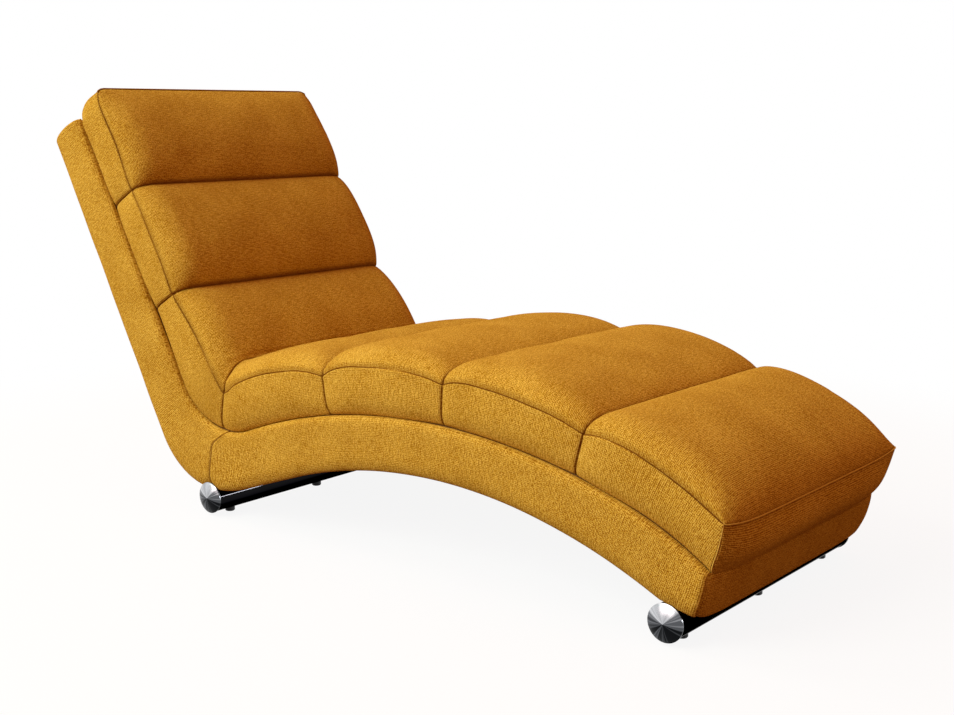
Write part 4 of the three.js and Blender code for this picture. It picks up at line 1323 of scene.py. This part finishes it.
pad_ends = (0.0128, deck.length - 0.0136)
deck_pad = lay_strip("deck_pad", "deck_lining", LINING, deck, *pad_ends, **DECK_PAD)
for face in deck_pad.data.polygons:
    face.use_smooth = True

for prefix, count, first, last in (("back", 4, 0.07, 0.29), ("seat", 6, 0.5, 0.92)):
    for i in range(count):
        at = deck.length * (first + (last - first) * i / (count - 1))
        ends = (at - STRAP_WIDTH / 2, at + STRAP_WIDTH / 2)
        lay_strip(f"{prefix}_strap_{i + 1}", "webbing", WEBBING, deck, *ends, **STRAP)

cloth_start = outside_past(REAR_TUBE.x + TUBE_RADIUS + 0.003)
cloth_stop = outside_past(FRONT_TUBE.x - TUBE_RADIUS - 0.003)
cloth_ends = (cloth_start, cloth_stop)
dust = lay_strip("dust_cover", "dust_cover_fabric", DUST_CLOTH, outside, *cloth_ends, **DUST_COVER)
print("dust cloth", round(cloth_stop - cloth_start, 3), "m long")

# %% [markdown]
# ## Lacquer, chrome and rubber
# The two tubes are gloss black steel, closed by turned chrome caps with a shallow dome, and stand on
# small rubber feet. Inside, the base is plywood and timber with zinc-plated saddles and bolts. Pictures
# of metal and wood would repeat, so these finishes are made of noise and small cells on Object
# coordinates, which lie still in each piece. The caps carry a painted reflection, a fan of light and dark
# sectors that grows lighter towards the top. It is drawn round the cap by the turned piece's own UV map,
# whose two values are the cosine and the sine of the angle.

# %% Finishes of the metal, wood and rubber
def lacquer():
    black = {"Base Color": (0.010, 0.010, 0.011, 1.0), "Metallic": 1.0, "Specular Tint": (0.0, 0.0, 0.0, 1.0)}
    material, tree, shader = new_finish("black_lacquer", black)
    place = tree.object_place()
    grime, peel = tree.noise(place, 90.0, 4.0, flat=False), tree.noise(place, 420.0, 1.0, flat=False)
    feed(tree, shader, Roughness=grime * 0.05 + 0.03, Normal=tree.bump(peel, 0.015, 0.0004))
    return material


def polished_chrome():
    material, tree, shader = new_finish("polished_chrome", {"Metallic": 1.0})
    round_cap = tree.uv_map()
    # Painted reflection: a fan of light and dark sectors round the cap, lighter towards its top.
    painted_fan = tree.noise(round_cap, 1.9, 2.5, Roughness=0.55)
    painted_light_to_top = tree.add("ShaderNodeSeparateXYZ", None, {"Vector": round_cap}, output="Y")
    tone = (painted_fan - 0.5) * (1.3 - painted_light_to_top * 1.15) * 1.7 + painted_light_to_top * 0.30 + 0.42
    colour = tree.blend(tone, (0.10, (22, 23, 25)), (0.45, (96, 98, 102)), (0.85, (226, 228, 232)))
    smear = tree.noise(tree.object_place(), 60.0, 3.0, flat=False)
    bump = tree.bump(painted_fan, 0.02, 0.0004)
    feed(tree, shader, Base_Color=colour, Roughness=smear * 0.08 + 0.22, Normal=bump)
    return material


def rubber():
    settings = {"Base Color": linear(22, 22, 23), "Specular IOR Level": 0.35}
    material, tree, shader = new_finish("black_rubber", settings)
    grain = tree.noise(tree.object_place(), 900.0, 2.0, flat=False)
    feed(tree, shader, Roughness=grain * 0.2 + 0.62, Normal=tree.bump(grain, 0.3, 0.0003))
    return material


def zinc_steel():
    material, tree, shader = new_finish("zinc_steel", {"Metallic": 0.9})
    spangle = tree.add("ShaderNodeTexVoronoi", None, {"Vector": tree.object_place(), "Scale": 180.0})
    colour = tree.blend(spangle, (0.1, (150, 154, 158)), (0.9, (182, 186, 190)))
    feed(tree, shader, Base_Color=colour, Roughness=spangle * 0.15 + 0.32)
    return material


def wood(name, light, dark, stretch):
    material, tree, shader = new_finish(name, {"Specular IOR Level": 0.3})
    along = tree.add("ShaderNodeMapping", None, {"Vector": tree.object_place(), "Scale": stretch})
    grain = tree.noise(along, 60.0, 5.0, flat=False, Distortion=0.6)
    colour = tree.blend(grain, (0.3, dark), (0.7, light))
    bump = tree.bump(grain, 0.2, 0.0005)
    feed(tree, shader, Base_Color=colour, Roughness=grain * 0.2 + 0.6, Normal=bump)
    return material


LACQUER, CHROME, RUBBER, ZINC = lacquer(), polished_chrome(), rubber(), zinc_steel()
PLYWOOD = wood("plywood", (214, 184, 138), (178, 142, 96), (1.0, 8.0, 1.0))
TIMBER = wood("timber", (196, 156, 104), (150, 110, 66), (6.0, 0.5, 6.0))

# %% Give the frame's own nodes their finish
NODE_FINISH = {
    "side_panel": PLYWOOD,
    "head_board": PLYWOOD,
    "foot_board": PLYWOOD,
    "back_rail": TIMBER,
    "seat_rail": TIMBER,
    "tube_rail": TIMBER,
    "saddle": ZINC,
    "bolt": ZINC,
    "rubber_foot": RUBBER,
}
finished = 0
for name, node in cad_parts.items():
    for part, material in NODE_FINISH.items():
        if part in name:
            node.data.materials.clear()
            node.data.materials.append(material)
            finished += 1
print("frame nodes with a finish", finished)

# %% [markdown]
# ## Turned tubes and caps
# Turned and drawn parts follow one rule, a profile swept round an axis, so one Geometry Nodes tree makes
# them from the profile's points. The tubes get 96 segments and the caps 128, which is fine enough to
# reflect a clean line. The profile is drawn as a maker would: the tube's wall, and the cap from its
# hollow inside, round its spigot and rim and up over the dome.

# %% The tree that turns a profile
def lathe_tree():
    """Walks the profile, one metre in from a circle of one metre, round that circle."""
    group, tree, given = geometry_tree("turned_part", {"Segments": "Int", "Finish": "Material"})
    profile = tree.add("GeometryNodeMeshToCurve", None, {"Mesh": given["Geometry"]})
    profile = tree.add("GeometryNodeTransform", None, {"Geometry": profile, "Translation": (-1.0, 0.0, 0.0)})
    size = {"Resolution": given["Segments"], "Radius": 1.0}
    circle = tree.add("GeometryNodeCurvePrimitiveCircle", {"mode": "RADIUS"}, size)
    solid = tree.add("GeometryNodeCurveToMesh", None, {"Curve": circle, "Profile Curve": profile})
    solid = tree.add("GeometryNodeMergeByDistance", None, {"Geometry": solid, "Distance": 0.000002})
    solid = tree.add("GeometryNodeSetShadeSmooth", None, {"Geometry": solid})
    solid = tree.add("GeometryNodeRealizeInstances", None, {"Geometry": solid})
    solid = tree.add("GeometryNodeSetMaterial", None, {"Geometry": solid, "Material": given["Finish"]})
    tree.add("NodeGroupOutput", None, {"Geometry": solid})
    return group


# %% Turn a profile round a line along Y
SHARP_ANGLE = 40
lathe_group = lathe_tree()


def turned(node, profile, centre, flip, material, segments=96):
    """A solid of revolution about a line along Y. The profile is (radius, place along the axis)."""
    line = [(radius, along, 0.0) for radius, along in profile]
    closed = profile[0] == profile[-1]
    if closed:
        line.pop()
    edges = [(i, i + 1) for i in range(len(line) - 1)] + ([(len(line) - 1, 0)] if closed else [])
    piece = grow(node, line, edges, lathe_group, {"Segments": segments, "Finish": material})
    mesh = piece.data
    made = np.array([vertex.co for vertex in mesh.vertices])
    placed = np.column_stack([centre.x + made[:, 0], centre.y - flip * made[:, 2], centre.z + made[:, 1]])
    mesh.vertices.foreach_set("co", placed.astype(np.float32).ravel())
    mesh.update()
    turned_uv = mesh.uv_layers.new(name="UVMap")
    for face in mesh.polygons:
        middle_angle = math.atan2(face.center.z - centre.z, face.center.x - centre.x)
        for loop in face.loop_indices:
            at = mesh.vertices[mesh.loops[loop].vertex_index].co
            radius = math.hypot(at.x - centre.x, at.z - centre.z)
            angle = math.atan2(at.z - centre.z, at.x - centre.x) if radius > 1e-6 else middle_angle
            turned_uv.data[loop].uv = (math.cos(angle), math.sin(angle))
    mesh.set_sharp_from_angle(angle=math.radians(SHARP_ANGLE))
    if sum((face.center - centre).dot(face.normal) * face.area for face in mesh.polygons) < 0:
        mesh.flip_normals()
    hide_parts(node)
    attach(piece, "root")
    return piece


def rounded_profile(points, radius, steps=6):
    """Rounds the inner corners of a profile."""
    made = [points[0]]
    for before, corner, after in zip(points, points[1:], points[2:]):
        a, c, b = (np.array(p, float) for p in (before, corner, after))
        reach = min(radius, np.linalg.norm(a - c) * 0.45, np.linalg.norm(b - c) * 0.45)
        first = c + (a - c) / np.linalg.norm(a - c) * reach
        last = c + (b - c) / np.linalg.norm(b - c) * reach
        for i in range(steps + 1):
            t = i / steps
            made.append(tuple((1 - t) ** 2 * first + 2 * t * (1 - t) * c + t * t * last))
    return made + [points[-1]]


# %% Profiles of the tube and the cap
TUBE_HALF, TUBE_WALL = 0.300, 0.002
CAP_PLAY, CAP_WALL, SPIGOT_LENGTH = 0.0023, 0.0025, 0.014
CAP_RIM, CAP_ROUND, DOME_RISE = 0.003, 0.0006, 0.007


def tube_profile():
    inside = TUBE_RADIUS - TUBE_WALL
    corners = [(inside, -TUBE_HALF), (TUBE_RADIUS, -TUBE_HALF), (TUBE_RADIUS, TUBE_HALF), (inside, TUBE_HALF)]
    return corners + corners[:1]


def cap_profile():
    """From the middle of the hollow inside, round the spigot and the rim, to the top of the dome."""
    spigot = TUBE_RADIUS - CAP_PLAY
    bore = spigot - CAP_WALL
    outline = [(0, CAP_WALL), (bore, CAP_WALL), (bore, -SPIGOT_LENGTH), (spigot, -SPIGOT_LENGTH)]
    outline += [(spigot, 0.0003), (CAP_RADIUS, 0.0003), (CAP_RADIUS, CAP_RIM - 0.0002)]
    profile = rounded_profile(outline, CAP_ROUND)
    sphere = (CAP_RADIUS**2 + DOME_RISE**2) / (2 * DOME_RISE)
    rim = math.asin(CAP_RADIUS / sphere)
    for i in range(17):
        angle = rim * (1 - i / 16)
        radius = sphere * math.sin(angle)
        lift = sphere * (math.cos(angle) - math.cos(rim))
        soften = 0.0010 * max(0.0, 1 - i / 3) ** 2
        profile.append((max(radius - soften, 0.0), CAP_RIM + lift))
    return profile


# %% Turn the tubes and the caps
for end, axis in (("rear", REAR_TUBE), ("front", FRONT_TUBE)):
    turned(f"{end}_tube", tube_profile(), axis, 1, LACQUER)
    for side, sign in (("left", 1), ("right", -1)):
        centre = Vector((axis.x, sign * TUBE_HALF, axis.z))
        name = f"{end}_cap_{side}"
        cap = turned(name, cap_profile(), centre, sign, CHROME, segments=128)
cap_box = (*cap.bound_box[0], *cap.bound_box[6])
print("cap", len(cap.data.polygons), "faces, box", [round(v, 4) for v in cap_box])

# %% [markdown]
# ## Light, floor and background
# The photograph is a cut-out on white. Its light is wide and soft, mostly from above and from the
# lounger's right, and what that light doesn't reach turns red-brown. So a large high softbox and a low one
# stand on that side and a third behind the head end, and the world fills the shade with a warm tone. The
# high ones are a little cool and the low one a little warm, so the lit cloth keeps its own colour. A
# narrow fourth lamp is seen only in reflections, and it draws the bright line along the black tubes. One
# strong sun would be simpler, but it would draw hard shadows that the photograph doesn't have.
#
# The white comes from colours that only the camera, mirrors and glass see, in the world and on the
# floor. The floor keeps the lounger's shadow near it and turns plain white further out.

# %% The world's warm fill and white background
WARM_FILL, FILL_STRENGTH = (1.0, 0.44, 0.25, 1.0), 0.60
WHITE = (1.0, 1.0, 1.0, 1.0)


def seen_directly(tree):
    """The camera ray's wire, and one that is 1 for the camera, mirrors and glass and 0 for bounced light."""
    ray = tree.add("ShaderNodeLightPath")
    glossy, through = tree.output_of(ray, "Is Glossy Ray"), tree.output_of(ray, "Is Transmission Ray")
    return ray, tree.largest(ray, glossy, through)


world = bpy.data.worlds.new("studio")
bpy.context.scene.world = world
world.use_nodes = True
world.node_tree.nodes.clear()
studio = NodeTree(world.node_tree)
ray, direct = seen_directly(studio)
fill = studio.add("ShaderNodeBackground", None, {"Color": WARM_FILL, "Strength": FILL_STRENGTH})
white = studio.add("ShaderNodeBackground", None, {"Color": WHITE, "Strength": 1.0})
mixed = studio.add("ShaderNodeMixShader", None, {0: direct, 1: fill, 2: white})
studio.add("ShaderNodeOutputWorld", None, {"Surface": mixed})

# %% Softboxes
SEAT_MIDDLE, TUBES_MIDDLE = (0.0, 0.0, 0.35), (0.2, 0.0, 0.05)


def softbox(name, place, target, size, watts, colour=(1.0, 1.0, 1.0)):
    data = bpy.data.lights.new(name, "AREA")
    data.shape = "RECTANGLE"
    data.size, data.size_y = size
    data.energy = watts
    data.color = colour
    lamp = bpy.data.objects.new(name, data)
    lamp.location = place
    lamp.rotation_euler = (Vector(target) - Vector(place)).to_track_quat("-Z", "Y").to_euler()
    bpy.context.scene.collection.objects.link(lamp)
    return lamp


softbox("key_softbox", (-2.2, -5.8, 4.85), SEAT_MIDDLE, (4.4, 3.6), 435, (0.87, 1.0, 0.88))
softbox("low_softbox", (-1.5, -5.7, 1.7), SEAT_MIDDLE, (3.4, 2.4), 92, (1.0, 0.82, 0.78))
softbox("left_softbox", (-4.2, -1.5, 4.2), SEAT_MIDDLE, (2.4, 2.4), 100, (0.97, 1.0, 0.95))
strip = softbox("strip_softbox", (2.25, 2.45, 0.20), TUBES_MIDDLE, (1.4, 0.12), 80)
strip.visible_diffuse = False

# %% The floor
FLOOR_HALF, SHADOW_REACH, WHITE_FROM, GLOW_NEAR = 9, 1.1, 2.1, 0.90
FLOOR_SEEN, FLOOR_BOUNCE = (0.9, 0.9, 0.9, 1.0), (0.12, 0.05, 0.02, 1.0)

floor_data = bpy.data.meshes.new("floor")
corners = [(x * FLOOR_HALF, y * FLOOR_HALF, 0) for x, y in ((-1, -1), (1, -1), (1, 1), (-1, 1))]
floor_data.from_pydata(corners, [], [(0, 1, 2, 3)])
floor = bpy.data.objects.new("floor", floor_data)
bpy.context.scene.collection.objects.link(floor)
floor_finish = bpy.data.materials.new("pale_floor")
floor_finish.use_nodes = True
floor_finish.node_tree.nodes.clear()
ground = NodeTree(floor_finish.node_tree)
ray, direct = seen_directly(ground)
bounced_or_seen = {0: ray, 6: FLOOR_BOUNCE, 7: FLOOR_SEEN}
floor_colour = ground.add("ShaderNodeMix", {"data_type": "RGBA"}, bounced_or_seen, output=2)
paint = ground.add("ShaderNodeBsdfDiffuse", None, {"Color": floor_colour})
glow = ground.add("ShaderNodeEmission", None, {"Color": WHITE, "Strength": 1.0})
place = ground.object_place()
away = ground.add("ShaderNodeVectorMath", {"operation": "LENGTH"}, {0: place}, output="Value")
fade = {"Value": away, "From Min": SHADOW_REACH, "From Max": WHITE_FROM, "To Min": GLOW_NEAR, "To Max": 1.0}
faded = ground.add("ShaderNodeMapRange", {"interpolation_type": "SMOOTHSTEP"}, fade)
surface = ground.add("ShaderNodeMixShader", None, {0: direct * faded, 1: paint, 2: glow})
ground.add("ShaderNodeOutputMaterial", None, {"Surface": surface})
floor_data.materials.append(floor_finish)
bpy.context.scene.view_settings.view_transform = "Standard"
